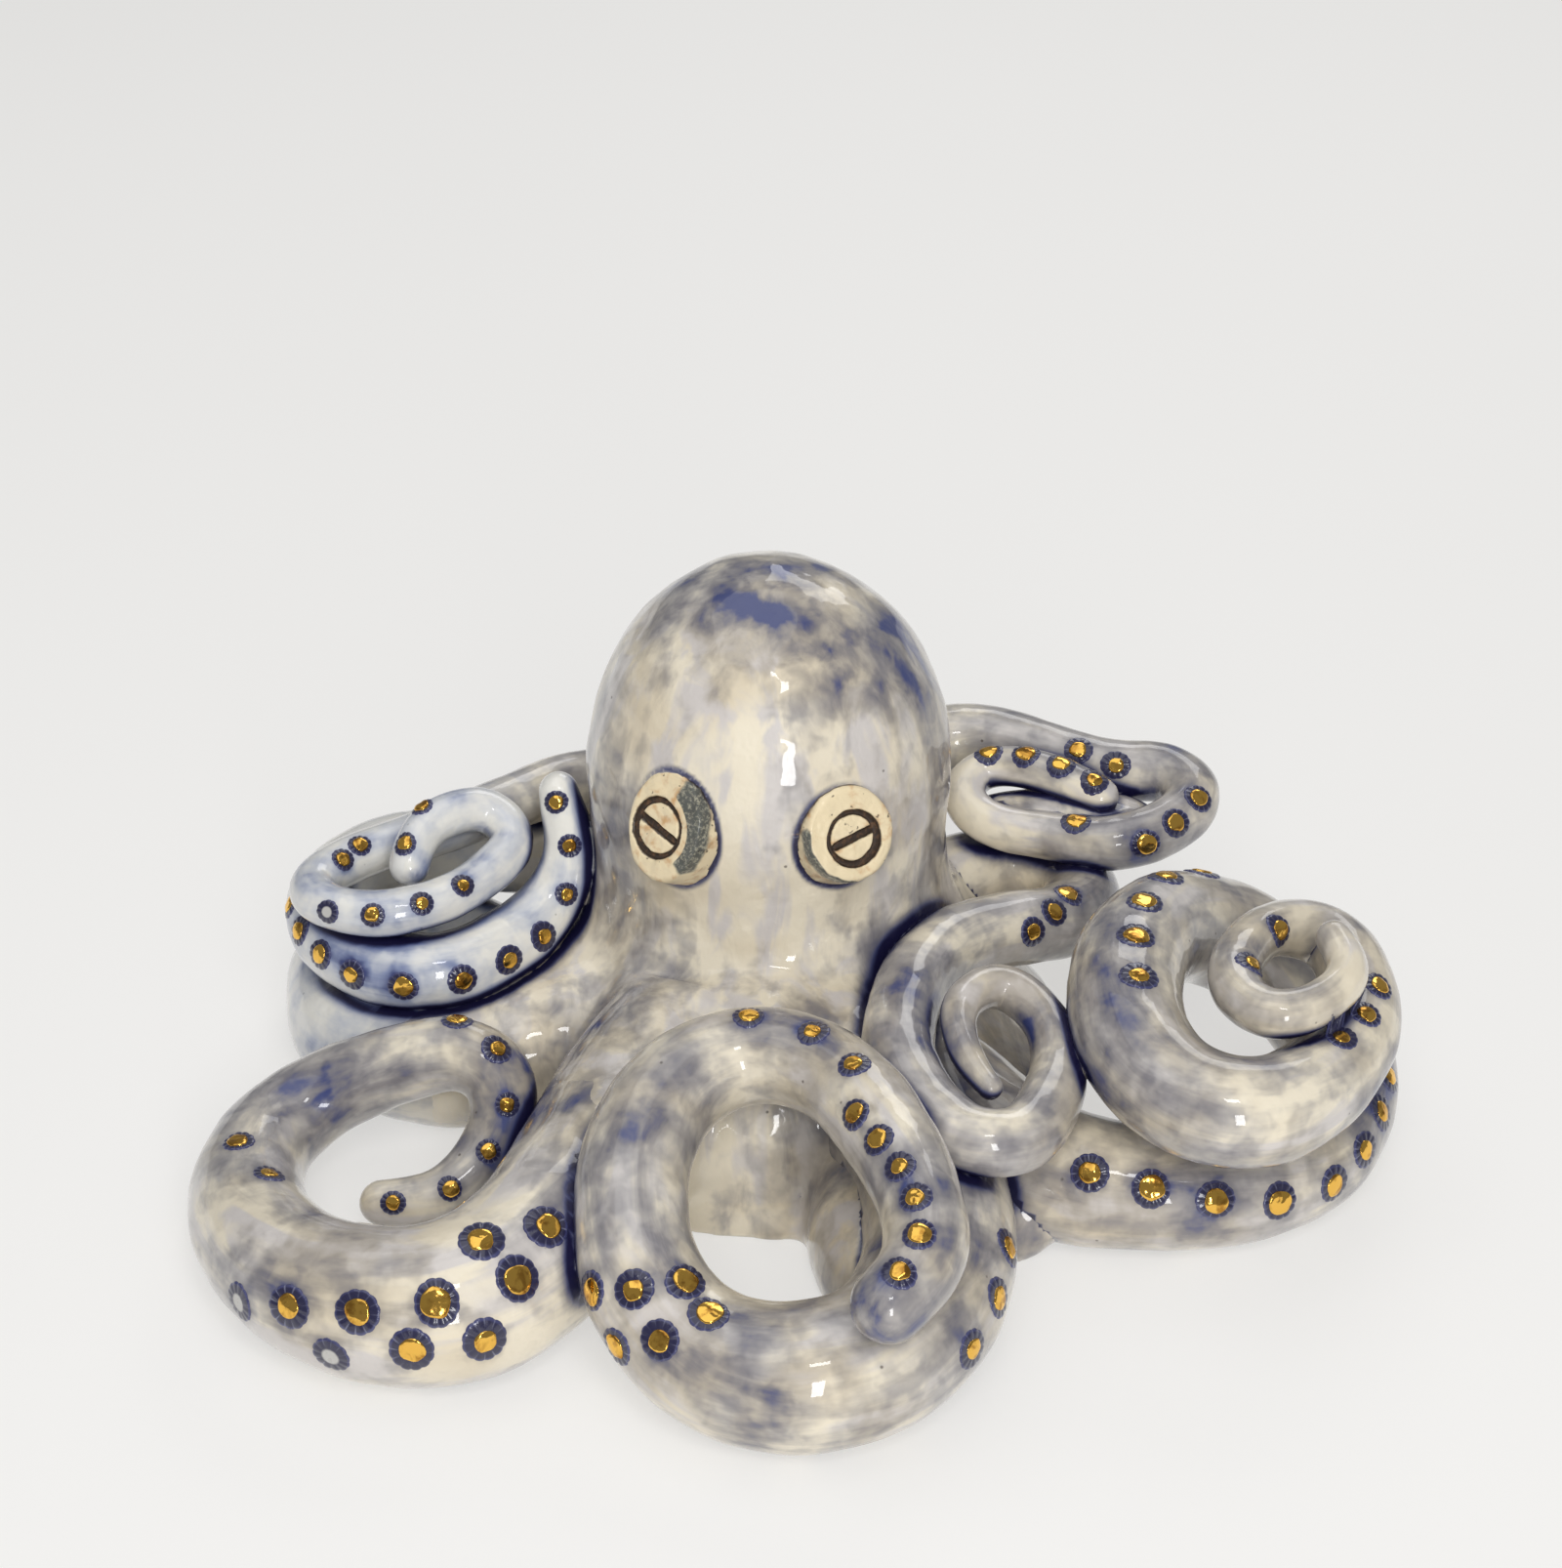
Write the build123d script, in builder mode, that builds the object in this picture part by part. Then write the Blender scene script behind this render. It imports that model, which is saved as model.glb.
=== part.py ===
"""Hand-built glazed ceramic octopus with eight coiled arms, gilded suckers and raised eyes.

The frame stands on the table: +Z is up, the face looks along -Y, +X is the viewer's right.
The origin is the centre of the body's flat foot. All lengths are millimetres.
"""

import os
from dataclasses import dataclass
from math import cos, radians, sin, sqrt, tan

from build123d import *

os.makedirs("parts", exist_ok=True)

# Body: a closed pinch pot, an egg-shaped head over a spreading foot
foot_diameter = 152.0
neck_diameter = 85.2
neck_height = 60.0
head_diameter = 87.0
head_widest_height = 74.0
head_dome_height = 53.0
body_lean = 12.0
body_wall = 7.0
body_floor = 9.0
vent_diameter = 4.0
vent_offset = 24.0
cut_overrun = 1.0
body_sides = 40
hollow_sides = 16

# Height, flare and lean of the skirt's rings, from the foot up to the neck
skirt_shares = (
    (0.00, 1.00, 0.00),
    (0.13, 0.79, 0.05),
    (0.30, 0.52, 0.21),
    (0.47, 0.30, 0.46),
    (0.63, 0.12, 0.75),
    (0.80, 0.02, 0.92),
    (1.00, 0.00, 1.00),
)
hollow_skirt_shares = ((0.47, 0.26, 0.46), (0.80, 0.00, 0.92))
hollow_floor_flare_share = 0.66
hollow_floor_lean_share = 0.06
dome_angles = (0, 14, 28, 42, 55, 67, 77, 86)
hollow_dome_angles = (0, 35, 65)

# Eyes: truncated cones pressed on to the head, with an incised ring and slit filled with oxide
left_eye_azimuth = -31.2
left_eye_height = 80.3
left_eye_turn = -40.9
left_eye_tilt = 21.3
left_eye_base_diameter = 27.0
left_eye_width_share = 0.79
left_eye_rise = 2.5
left_ring_diameter = 14.4
left_ring_aside = -1.5
left_ring_lift = -1.1
left_slit_angle = 166.0
right_eye_azimuth = 23.8
right_eye_height = 79.8
right_eye_turn = 24.8
right_eye_tilt = 23.4
right_eye_base_diameter = 23.2
right_eye_width_share = 0.95
right_eye_rise = 3.3
right_ring_diameter = 13.4
right_ring_aside = 0.35
right_ring_lift = -1.0
right_slit_angle = 12.7
eye_taper = 9.0
eye_shoulder = 1.2
eye_bed = 7.0
groove_width = 1.5
groove_depth = 1.0
slit_share = 0.94
slit_width = 2.0
eye_sides = 24

# Arms: rolled coils, flattened where they lie on the table
foot_flat = 0.6
arm_sides = 12
rings_between = 2
tip_angles = (35, 65, 84)

front_arm_reach = 160.0
front_arm_thickness = 36.0
front_left_arm_reach = 165.0
front_left_arm_thickness = 40.0
left_arm_reach = 125.0
left_arm_thickness = 32.0
rear_left_arm_reach = 125.0
rear_left_arm_thickness = 28.0
back_left_arm_reach = 125.0
back_left_arm_thickness = 24.0
back_right_arm_reach = 120.0
back_right_arm_thickness = 26.0
right_arm_reach = 115.0
right_arm_thickness = 28.0
front_right_arm_reach = 160.0
front_right_arm_thickness = 32.0

# Suckers: rosettes pressed on to the arms, each with a drop of gold lustre
large_sucker = 9.8
medium_sucker = 8.6
small_sucker = 7.2
tiny_sucker = 5.6
sucker_rise = 1.1
sucker_depth = 3.2
sucker_petals = 10
drop_height = 1.0
drop_taper = 35.0
drop_base_share = 0.60
drop_sides = 6

# Each arm's route: places to the side and in depth are shares of its reach, the height of its
# underside and its girth are shares of its thickness
front_arm_shares = (
    (0.06, -0.21, 0.18, 1.00),
    (0.18, -0.37, 0.02, 1.00),
    (0.23, -0.55, 0.00, 0.97),
    (0.21, -0.72, 0.00, 0.94),
    (0.13, -0.83, 0.00, 0.89),
    (0.02, -0.86, 0.00, 0.86),
    (-0.09, -0.82, 0.05, 0.82),
    (-0.17, -0.73, 0.36, 0.74),
    (-0.18, -0.59, 0.70, 0.68),
    (-0.12, -0.47, 0.92, 0.64),
    (-0.02, -0.43, 1.04, 0.60),
    (0.09, -0.49, 1.08, 0.57),
    (0.16, -0.63, 1.08, 0.54),
    (0.20, -0.76, 1.02, 0.51),
    (0.19, -0.85, 0.94, 0.49),
    (0.15, -0.90, 0.89, 0.44),
)
front_left_arm_shares = (
    (-0.10, -0.20, 0.12, 1.00),
    (-0.21, -0.38, 0.02, 0.97),
    (-0.29, -0.57, 0.00, 0.93),
    (-0.39, -0.69, 0.00, 0.90),
    (-0.51, -0.70, 0.00, 0.84),
    (-0.64, -0.61, 0.00, 0.75),
    (-0.71, -0.45, 0.00, 0.65),
    (-0.69, -0.31, 0.08, 0.56),
    (-0.60, -0.26, 0.28, 0.50),
    (-0.50, -0.26, 0.48, 0.46),
    (-0.42, -0.27, 0.56, 0.43),
    (-0.38, -0.29, 0.48, 0.41),
    (-0.37, -0.33, 0.32, 0.38),
    (-0.40, -0.38, 0.17, 0.35),
    (-0.45, -0.42, 0.11, 0.30),
    (-0.53, -0.43, 0.10, 0.26),
)
left_arm_shares = (
    (-0.22, 0.04, 0.27, 1.00),
    (-0.42, -0.16, 0.06, 0.98),
    (-0.62, -0.20, 0.00, 0.94),
    (-0.77, -0.12, 0.00, 0.89),
    (-0.84, 0.06, 0.00, 0.83),
    (-0.81, 0.24, 0.00, 0.77),
    (-0.68, 0.32, 0.00, 0.69),
    (-0.56, 0.28, 0.00, 0.62),
)
rear_left_arm_shares = (
    (-0.10, 0.28, 0.40, 0.95),
    (-0.37, 0.39, 0.56, 0.86),
    (-0.56, 0.34, 0.75, 0.79),
    (-0.73, 0.27, 0.93, 0.73),
    (-0.84, 0.15, 0.97, 0.70),
    (-0.84, -0.01, 0.98, 0.68),
    (-0.76, -0.11, 0.98, 0.68),
    (-0.64, -0.15, 0.99, 0.66),
    (-0.51, -0.09, 1.05, 0.62),
    (-0.42, 0.00, 1.28, 0.55),
    (-0.38, 0.05, 1.68, 0.46),
    (-0.39, 0.09, 2.02, 0.39),
    (-0.40, 0.11, 2.21, 0.34),
)
back_left_arm_shares = (
    (-0.11, 0.25, 1.45, 1.00),
    (-0.26, 0.37, 1.58, 0.83),
    (-0.39, 0.37, 1.72, 0.67),
    (-0.49, 0.28, 1.86, 0.57),
    (-0.60, 0.18, 1.93, 0.53),
    (-0.72, 0.11, 1.92, 0.50),
    (-0.82, 0.04, 1.90, 0.49),
    (-0.86, -0.05, 1.90, 0.48),
    (-0.80, -0.12, 1.92, 0.46),
    (-0.69, -0.13, 1.94, 0.46),
    (-0.59, -0.08, 1.98, 0.45),
    (-0.52, 0.00, 2.04, 0.45),
    (-0.49, 0.07, 2.16, 0.44),
    (-0.53, 0.11, 2.30, 0.44),
    (-0.60, 0.09, 2.37, 0.43),
    (-0.66, 0.04, 2.28, 0.42),
    (-0.68, -0.01, 2.10, 0.40),
)
back_right_arm_shares = (
    (0.12, 0.24, 0.95, 1.00),
    (0.23, 0.44, 1.25, 0.88),
    (0.36, 0.55, 1.50, 0.77),
    (0.51, 0.52, 1.63, 0.67),
    (0.64, 0.44, 1.66, 0.62),
    (0.75, 0.41, 1.67, 0.59),
    (0.84, 0.38, 1.69, 0.56),
    (0.87, 0.30, 1.66, 0.54),
    (0.80, 0.22, 1.58, 0.52),
    (0.67, 0.19, 1.52, 0.49),
    (0.55, 0.23, 1.52, 0.46),
    (0.45, 0.265, 1.58, 0.42),
    (0.405, 0.32, 1.72, 0.40),
    (0.435, 0.375, 1.84, 0.39),
    (0.51, 0.37, 1.92, 0.39),
    (0.60, 0.325, 1.92, 0.38),
    (0.68, 0.285, 1.85, 0.35),
)
right_arm_shares = (
    (0.15, 0.05, 0.56, 1.00),
    (0.38, 0.26, 0.62, 0.84),
    (0.54, 0.32, 0.66, 0.74),
    (0.66, 0.22, 0.76, 0.70),
    (0.62, 0.05, 0.92, 0.67),
    (0.49, -0.05, 1.09, 0.64),
    (0.35, -0.17, 1.21, 0.62),
    (0.27, -0.37, 1.25, 0.61),
    (0.26, -0.56, 1.23, 0.59),
    (0.31, -0.69, 1.18, 0.57),
    (0.38, -0.77, 1.15, 0.56),
    (0.46, -0.77, 1.14, 0.54),
    (0.53, -0.67, 1.18, 0.51),
    (0.56, -0.54, 1.27, 0.46),
    (0.53, -0.42, 1.41, 0.42),
    (0.46, -0.37, 1.53, 0.38),
    (0.39, -0.42, 1.58, 0.34),
    (0.37, -0.53, 1.57, 0.30),
    (0.39, -0.61, 1.53, 0.27),
    (0.42, -0.67, 1.52, 0.22),
)
front_right_arm_shares = (
    (0.11, -0.15, 0.27, 1.00),
    (0.25, -0.28, 0.10, 1.00),
    (0.37, -0.41, 0.00, 0.97),
    (0.49, -0.45, 0.00, 0.91),
    (0.62, -0.45, 0.00, 0.88),
    (0.75, -0.39, 0.00, 0.84),
    (0.83, -0.26, 0.03, 0.83),
    (0.83, -0.12, 0.17, 0.81),
    (0.76, -0.04, 0.48, 0.82),
    (0.64, -0.05, 0.88, 0.83),
    (0.53, -0.19, 1.14, 0.83),
    (0.50, -0.36, 1.13, 0.81),
    (0.55, -0.49, 1.03, 0.80),
    (0.65, -0.53, 0.99, 0.77),
    (0.75, -0.47, 1.02, 0.70),
    (0.82, -0.36, 1.12, 0.61),
    (0.835, -0.25, 1.27, 0.52),
    (0.795, -0.175, 1.42, 0.45),
    (0.73, -0.19, 1.55, 0.41),
    (0.67, -0.27, 1.63, 0.38),
    (0.65, -0.37, 1.66, 0.36),
    (0.69, -0.43, 1.68, 0.34),
    (0.75, -0.42, 1.73, 0.31),
    (0.80, -0.36, 1.82, 0.29),
    (0.79, -0.30, 1.90, 0.26),
)


@dataclass(frozen=True)
class SuckerRow:
    """Suckers in a line along an arm, turning evenly from one facing direction to another."""

    first_share: float
    last_share: float
    count: int
    first_facing: tuple
    last_facing: tuple
    diameter: float
    gilded: bool = True


front_arm_suckers = (
    SuckerRow(0.718, 0.809, 3, (-0.12, 0.01, 0.99), (-0.15, -0.09, 0.98), small_sucker),
    SuckerRow(0.847, 0.990, 6, (-0.65, -0.28, 0.71), (0.05, -0.25, 0.97), small_sucker),
    SuckerRow(0.514, 0.489, 3, (-0.81, -0.54, 0.22), (0.38, -0.32, 0.87), medium_sucker),
    SuckerRow(0.485, 0.452, 3, (-0.74, -0.67, 0.00), (0.11, -0.28, 0.95), medium_sucker),
    SuckerRow(0.241, 0.305, 3, (0.88, -0.15, 0.45), (0.85, -0.50, 0.17), medium_sucker),
)
front_left_arm_suckers = (
    SuckerRow(0.275, 0.312, 2, (0.39, -0.32, 0.87), (0.10, -0.24, 0.97), large_sucker),
    SuckerRow(0.305, 0.420, 4, (0.41, -0.64, 0.64), (-0.47, -0.78, 0.42), large_sucker),
    SuckerRow(0.326, 0.357, 2, (0.34, -0.93, 0.12), (0.02, -0.98, 0.12), large_sucker),
    SuckerRow(0.396, 0.458, 2, (-0.25, -0.96, -0.10), (-0.72, -0.69, 0.10), medium_sucker, False),
    SuckerRow(0.533, 0.586, 2, (0.30, 0.18, 0.94), (-0.09, 0.02, 1.00), small_sucker),
    SuckerRow(0.810, 0.835, 2, (0.30, 0.14, 0.92), (0.40, -0.40, 0.82), small_sucker),
    SuckerRow(0.871, 0.990, 4, (0.20, -0.71, 0.69), (-0.02, -0.80, 0.60), tiny_sucker),
)
rear_left_arm_suckers = (
    SuckerRow(0.545, 0.654, 4, (-0.75, -0.35, 0.50), (-0.42, -0.87, 0.20), small_sucker),
    SuckerRow(0.697, 0.830, 4, (-0.11, -0.98, 0.17), (0.61, -0.72, 0.30), small_sucker),
    SuckerRow(0.891, 0.990, 3, (0.30, -0.86, 0.30), (-0.19, -0.89, 0.42), tiny_sucker),
)
back_left_arm_suckers = (
    SuckerRow(0.604, 0.604, 1, (-0.40, -0.81, 0.42), (-0.40, -0.81, 0.42), tiny_sucker, False),
    SuckerRow(0.644, 0.735, 3, (0.01, -0.87, 0.50), (0.40, -0.51, 0.77), tiny_sucker),
    SuckerRow(0.475, 0.505, 2, (0.40, -0.30, 0.86), (0.50, -0.45, 0.72), tiny_sucker),
    SuckerRow(0.945, 0.985, 2, (-0.50, 0.00, 0.86), (-0.30, -0.50, 0.80), tiny_sucker),
)
back_right_arm_suckers = (
    SuckerRow(0.875, 0.990, 4, (-0.30, -0.10, 0.95), (0.10, -0.35, 0.92), small_sucker),
    SuckerRow(0.386, 0.425, 2, (-0.13, -0.56, 0.82), (-0.15, -0.75, 0.60), small_sucker),
    SuckerRow(0.552, 0.618, 3, (0.40, -0.36, 0.85), (0.40, -0.82, 0.34), small_sucker),
    SuckerRow(0.684, 0.684, 1, (-0.07, -0.07, 1.00), (-0.07, -0.07, 1.00), small_sucker),
)
right_arm_suckers = (
    SuckerRow(0.312, 0.358, 3, (0.34, -0.04, 0.94), (0.55, -0.72, 0.41), small_sucker),
)
front_right_arm_suckers = (
    SuckerRow(0.158, 0.234, 4, (-0.12, -0.70, 0.71), (0.35, -0.90, 0.26), medium_sucker),
    SuckerRow(0.259, 0.320, 4, (0.61, -0.77, 0.20), (0.74, -0.20, 0.64), medium_sucker),
    SuckerRow(0.460, 0.575, 5, (0.10, 0.45, 0.90), (0.15, -0.10, 0.98), medium_sucker),
    SuckerRow(0.715, 0.762, 3, (0.11, -0.15, 0.98), (0.36, -0.22, 0.90), small_sucker),
    SuckerRow(0.854, 0.900, 2, (0.72, -0.40, 0.57), (0.57, 0.06, 0.82), small_sucker),
)


@dataclass(frozen=True)
class ArmPlan:
    """One arm's name, sizes, route and suckers."""

    name: str
    reach: float
    thickness: float
    shares: tuple
    suckers: tuple


# Arms in the order they were laid: each later one is pressed on to the earlier ones
arm_plans = (
    ArmPlan("left_arm", left_arm_reach, left_arm_thickness, left_arm_shares, ()),
    ArmPlan(
        "front_left_arm",
        front_left_arm_reach,
        front_left_arm_thickness,
        front_left_arm_shares,
        front_left_arm_suckers,
    ),
    ArmPlan(
        "rear_left_arm",
        rear_left_arm_reach,
        rear_left_arm_thickness,
        rear_left_arm_shares,
        rear_left_arm_suckers,
    ),
    ArmPlan(
        "back_left_arm",
        back_left_arm_reach,
        back_left_arm_thickness,
        back_left_arm_shares,
        back_left_arm_suckers,
    ),
    ArmPlan(
        "front_arm",
        front_arm_reach,
        front_arm_thickness,
        front_arm_shares,
        front_arm_suckers,
    ),
    ArmPlan(
        "front_right_arm",
        front_right_arm_reach,
        front_right_arm_thickness,
        front_right_arm_shares,
        front_right_arm_suckers,
    ),
    ArmPlan(
        "right_arm",
        right_arm_reach,
        right_arm_thickness,
        right_arm_shares,
        right_arm_suckers,
    ),
    ArmPlan(
        "back_right_arm",
        back_right_arm_reach,
        back_right_arm_thickness,
        back_right_arm_shares,
        back_right_arm_suckers,
    ),
)


def finish(piece: Part, name: str):
    """Label a finished piece and write it."""
    piece.label = name
    export_step(piece, f"parts/{name}.step")


def flat_facets(form: Part):
    """The same form, with each four-cornered side creased into two flat triangles."""
    faces = []
    for side in form.faces():
        corners = [edge.position_at(0) for edge in side.outer_wire().order_edges()]
        if len(corners) == 4:
            faces.append(Face(Wire.make_polygon(corners[:3], close=True)))
            corners = [corners[2], corners[3], corners[0]]
        faces.append(Face(Wire.make_polygon(corners, close=True)))
    return Solid(Shell(faces))


def skirt_ring(height_share, flare_share, lean_share):
    """Plane and radius of one ring of the skirt."""
    flare = (foot_diameter - neck_diameter) / 2 * flare_share
    plane = Plane((0, body_lean * lean_share, neck_height * height_share))
    return plane, neck_diameter / 2 + flare


def dome_ring(angle):
    """Plane and radius of one ring of the head, at an angle above its widest part."""
    height = head_widest_height + head_dome_height * sin(radians(angle))
    return Plane((0, body_lean, height)), head_diameter / 2 * cos(radians(angle))


def hollow_skirt_ring(height_share, flare_share, lean_share):
    """Plane and radius of one ring of the hollow inside the skirt."""
    plane, radius = skirt_ring(height_share, flare_share, lean_share)
    return plane, radius - body_wall


def hollow_dome_ring(angle):
    """Plane and radius of one ring of the hollow inside the head."""
    height = head_widest_height + (head_dome_height - body_wall) * sin(radians(angle))
    return Plane((0, body_lean, height)), (head_diameter / 2 - body_wall) * cos(radians(angle))


def ringed_form(rings, sides):
    """A form with flat facets through many-sided rings."""
    with BuildPart() as form:
        for plane, radius in rings:
            with BuildSketch(plane):
                RegularPolygon(radius, sides)
        loft(ruled=True)
    return flat_facets(form.part)


# Body without its hollow: the form that everything else is pressed on to
body_rings = [skirt_ring(*share) for share in skirt_shares] + [dome_ring(a) for a in dome_angles]
body_form = ringed_form(body_rings, body_sides)

# Hollow inside the body
hollow_floor_share = body_floor / neck_height
hollow_rings = [hollow_skirt_ring(hollow_floor_share, hollow_floor_flare_share, hollow_floor_lean_share)]
hollow_rings += [hollow_skirt_ring(*share) for share in hollow_skirt_shares]
hollow_rings += [hollow_dome_ring(angle) for angle in hollow_dome_angles]
hollow_form = ringed_form(hollow_rings, hollow_sides)

# Mantle: the body hollowed out, with a vent through its floor
with BuildPart() as mantle:
    add(body_form)
    add(hollow_form, mode=Mode.SUBTRACT)
    with BuildSketch(Plane((0, vent_offset, -cut_overrun))):
        Circle(vent_diameter / 2)
    extrude(amount=body_floor + 2 * cut_overrun, mode=Mode.SUBTRACT)
finish(mantle.part, "mantle")


class ArmRoute:
    """A tapering coil's centre line, with its girth at each place along it."""

    def __init__(self, plan: ArmPlan):
        half = plan.thickness / 2
        self.radii = [half * girth for *_, girth in plan.shares]
        points = [
            Vector(
                plan.reach * side,
                plan.reach * depth,
                plan.thickness * lift + half * girth - foot_flat,
            )
            for side, depth, lift, girth in plan.shares
        ]
        self.line = Edge.make_spline(points)
        self.knots = [self.line.param_at_point(point) for point in points]

    def radius_at(self, share):
        """Radius of the coil at a share of its length."""
        for low, high, start, end in zip(self.knots, self.knots[1:], self.radii, self.radii[1:]):
            if share <= high:
                return start + (end - start) * (share - low) / (high - low)
        return self.radii[-1]

    def rings(self):
        """Planes and radii of the coil's rings, root to tip, without twist."""
        stations = []
        for low, high in zip(self.knots, self.knots[1:]):
            stations += [low + (high - low) * i / rings_between for i in range(rings_between)]
        stations.append(self.knots[-1])
        side = self.line.tangent_at(0).cross(Vector(0, 0, 1))
        rings = []
        for share in stations:
            along = self.line.tangent_at(share)
            side = (side - along * side.dot(along)).normalized()
            plane = Plane(self.line.position_at(share), x_dir=side, z_dir=along)
            rings.append((plane, self.radius_at(share)))
        end, end_radius = rings[-1]
        for angle in tip_angles:
            rings.append((end.offset(end_radius * sin(radians(angle))), end_radius * cos(radians(angle))))
        return rings

    def seat(self, share, facing):
        """Plane just clear of the coil's skin, looking outwards: the top of a sucker."""
        along = self.line.tangent_at(share)
        outward = Vector(*facing)
        outward = (outward - along * outward.dot(along)).normalized()
        origin = self.line.position_at(share) + outward * (self.radius_at(share) + sucker_rise)
        return Plane(origin, x_dir=along, z_dir=outward)


def sucker_seats(plan: ArmPlan, route: ArmRoute):
    """Top plane, diameter and gilding of every sucker on an arm."""
    seats = []
    for row in plan.suckers:
        first, last = Vector(*row.first_facing), Vector(*row.last_facing)
        for index in range(row.count):
            along = index / max(row.count - 1, 1)
            share = row.first_share + (row.last_share - row.first_share) * along
            seats.append((route.seat(share, first + (last - first) * along), row.diameter, row.gilded))
    return seats


# Arms, each with its rosettes and their gold
laid = [body_form]
for plan in arm_plans:
    route = ArmRoute(plan)
    seats = sucker_seats(plan, route)
    with BuildPart() as arm:
        add(ringed_form(route.rings(), arm_sides))
        add(laid, mode=Mode.SUBTRACT)
        split(bisect_by=Plane.XY, keep=Keep.TOP)
    if seats:
        with BuildPart() as pads:
            for plane, diameter, gilded in seats:
                with BuildSketch(plane):
                    RegularPolygon(diameter / 2, sucker_petals)
            extrude(amount=-sucker_depth)
            add(arm.part, mode=Mode.SUBTRACT)
        finish(pads.part, f"{plan.name}_suckers")
        with BuildPart() as drops:
            for plane, diameter, gilded in seats:
                if gilded:
                    with BuildSketch(plane):
                        RegularPolygon(diameter / 2 * drop_base_share, drop_sides)
            extrude(amount=drop_height, taper=drop_taper)
        finish(drops.part, f"{plan.name}_gold")
    finish(arm.part, plan.name)
    laid.append(arm.part)


@dataclass(frozen=True)
class EyePlan:
    """One eye's side, place on the head, direction and sizes."""

    side: str
    azimuth: float
    height: float
    turn: float
    tilt: float
    base_diameter: float
    width_share: float
    rise: float
    ring_diameter: float
    ring_aside: float
    ring_lift: float
    slit_angle: float

    def seat(self):
        """Plane on the head under the eye, looking outwards and up."""
        up_share = (self.height - head_widest_height) / head_dome_height
        reach = head_diameter / 2 * sqrt(1 - up_share**2)
        place = (
            reach * sin(radians(self.azimuth)),
            body_lean - reach * cos(radians(self.azimuth)),
            self.height,
        )
        aside = Vector(cos(radians(self.turn)), sin(radians(self.turn)), 0)
        front = Vector(sin(radians(self.turn)), -cos(radians(self.turn)), 0)
        outward = front * cos(radians(self.tilt)) + Vector(0, 0, sin(radians(self.tilt)))
        return Plane(place, x_dir=aside, z_dir=outward)

    def oval(self, radius):
        """Corners of the boss's outline, which is narrower across than it is tall."""
        turns = [radians(360 * side / eye_sides) for side in range(eye_sides)]
        return [(radius * self.width_share * cos(turn), radius * sin(turn)) for turn in turns]


eye_plans = (
    EyePlan(
        "left",
        left_eye_azimuth,
        left_eye_height,
        left_eye_turn,
        left_eye_tilt,
        left_eye_base_diameter,
        left_eye_width_share,
        left_eye_rise,
        left_ring_diameter,
        left_ring_aside,
        left_ring_lift,
        left_slit_angle,
    ),
    EyePlan(
        "right",
        right_eye_azimuth,
        right_eye_height,
        right_eye_turn,
        right_eye_tilt,
        right_eye_base_diameter,
        right_eye_width_share,
        right_eye_rise,
        right_ring_diameter,
        right_ring_aside,
        right_ring_lift,
        right_slit_angle,
    ),
)

# Eyes: boss, ring inlay and slit inlay on each side
for plan in eye_plans:
    seat = plan.seat()
    groove_floor = seat.offset(plan.rise - groove_depth)
    with BuildPart() as ring:
        with BuildSketch(groove_floor):
            with Locations((plan.ring_aside, plan.ring_lift)):
                RegularPolygon(plan.ring_diameter / 2, eye_sides)
                RegularPolygon(plan.ring_diameter / 2 - groove_width, eye_sides, mode=Mode.SUBTRACT)
        extrude(amount=groove_depth)
    finish(ring.part, f"{plan.side}_eye_ring")
    with BuildPart() as slit:
        with BuildSketch(groove_floor):
            with Locations((plan.ring_aside, plan.ring_lift)):
                ring_inside = plan.ring_diameter - 2 * groove_width
                SlotOverall(ring_inside * slit_share, slit_width, rotation=plan.slit_angle)
        extrude(amount=groove_depth)
    finish(slit.part, f"{plan.side}_eye_slit")
    with BuildPart() as boss:
        with BuildSketch(seat.offset(-eye_bed)):
            Polygon(*plan.oval(plan.base_diameter / 2 + eye_bed * tan(radians(eye_taper))))
        extrude(amount=eye_bed + plan.rise, taper=eye_taper)
        chamfer(faces().sort_by(Axis(seat.origin, seat.z_dir))[-1].edges(), eye_shoulder)
        add(body_form, mode=Mode.SUBTRACT)
        add(ring.part, mode=Mode.SUBTRACT)
        add(slit.part, mode=Mode.SUBTRACT)
    finish(boss.part, f"{plan.side}_eye_boss")
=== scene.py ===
"""Looks of a hand-built glazed octopus ornament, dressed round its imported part.

The frame stands on the table, in metres: +Z is up, the face looks along -Y and +X is the viewer's right.
Sizes in the plans below are millimetres, as a potter would measure them.
"""

import logging
import math
import random
from dataclasses import dataclass
from enum import Enum

import bmesh
import bpy
import numpy as np
from mathutils import Matrix, Vector, noise
from mathutils.bvhtree import BVHTree


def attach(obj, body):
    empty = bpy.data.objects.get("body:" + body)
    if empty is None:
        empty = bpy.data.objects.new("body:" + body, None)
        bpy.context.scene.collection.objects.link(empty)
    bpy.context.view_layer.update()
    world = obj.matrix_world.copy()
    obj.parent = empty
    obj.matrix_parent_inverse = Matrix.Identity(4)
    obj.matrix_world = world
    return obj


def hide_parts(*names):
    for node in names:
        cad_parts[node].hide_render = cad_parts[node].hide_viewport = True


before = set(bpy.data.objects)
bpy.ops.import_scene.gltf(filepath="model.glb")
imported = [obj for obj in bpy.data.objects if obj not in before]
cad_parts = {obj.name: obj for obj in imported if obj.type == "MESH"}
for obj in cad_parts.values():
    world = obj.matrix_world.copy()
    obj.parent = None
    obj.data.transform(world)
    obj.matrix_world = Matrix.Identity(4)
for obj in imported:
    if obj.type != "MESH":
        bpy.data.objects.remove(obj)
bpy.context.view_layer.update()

LOG = logging.getLogger("octopus")
MM = 0.001
FOOT_FLAT = 0.6
SEED_STEP = 11.3

Colour = tuple[float, float, float, float]
Shares = tuple[tuple[float, float, float, float], ...]


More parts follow.
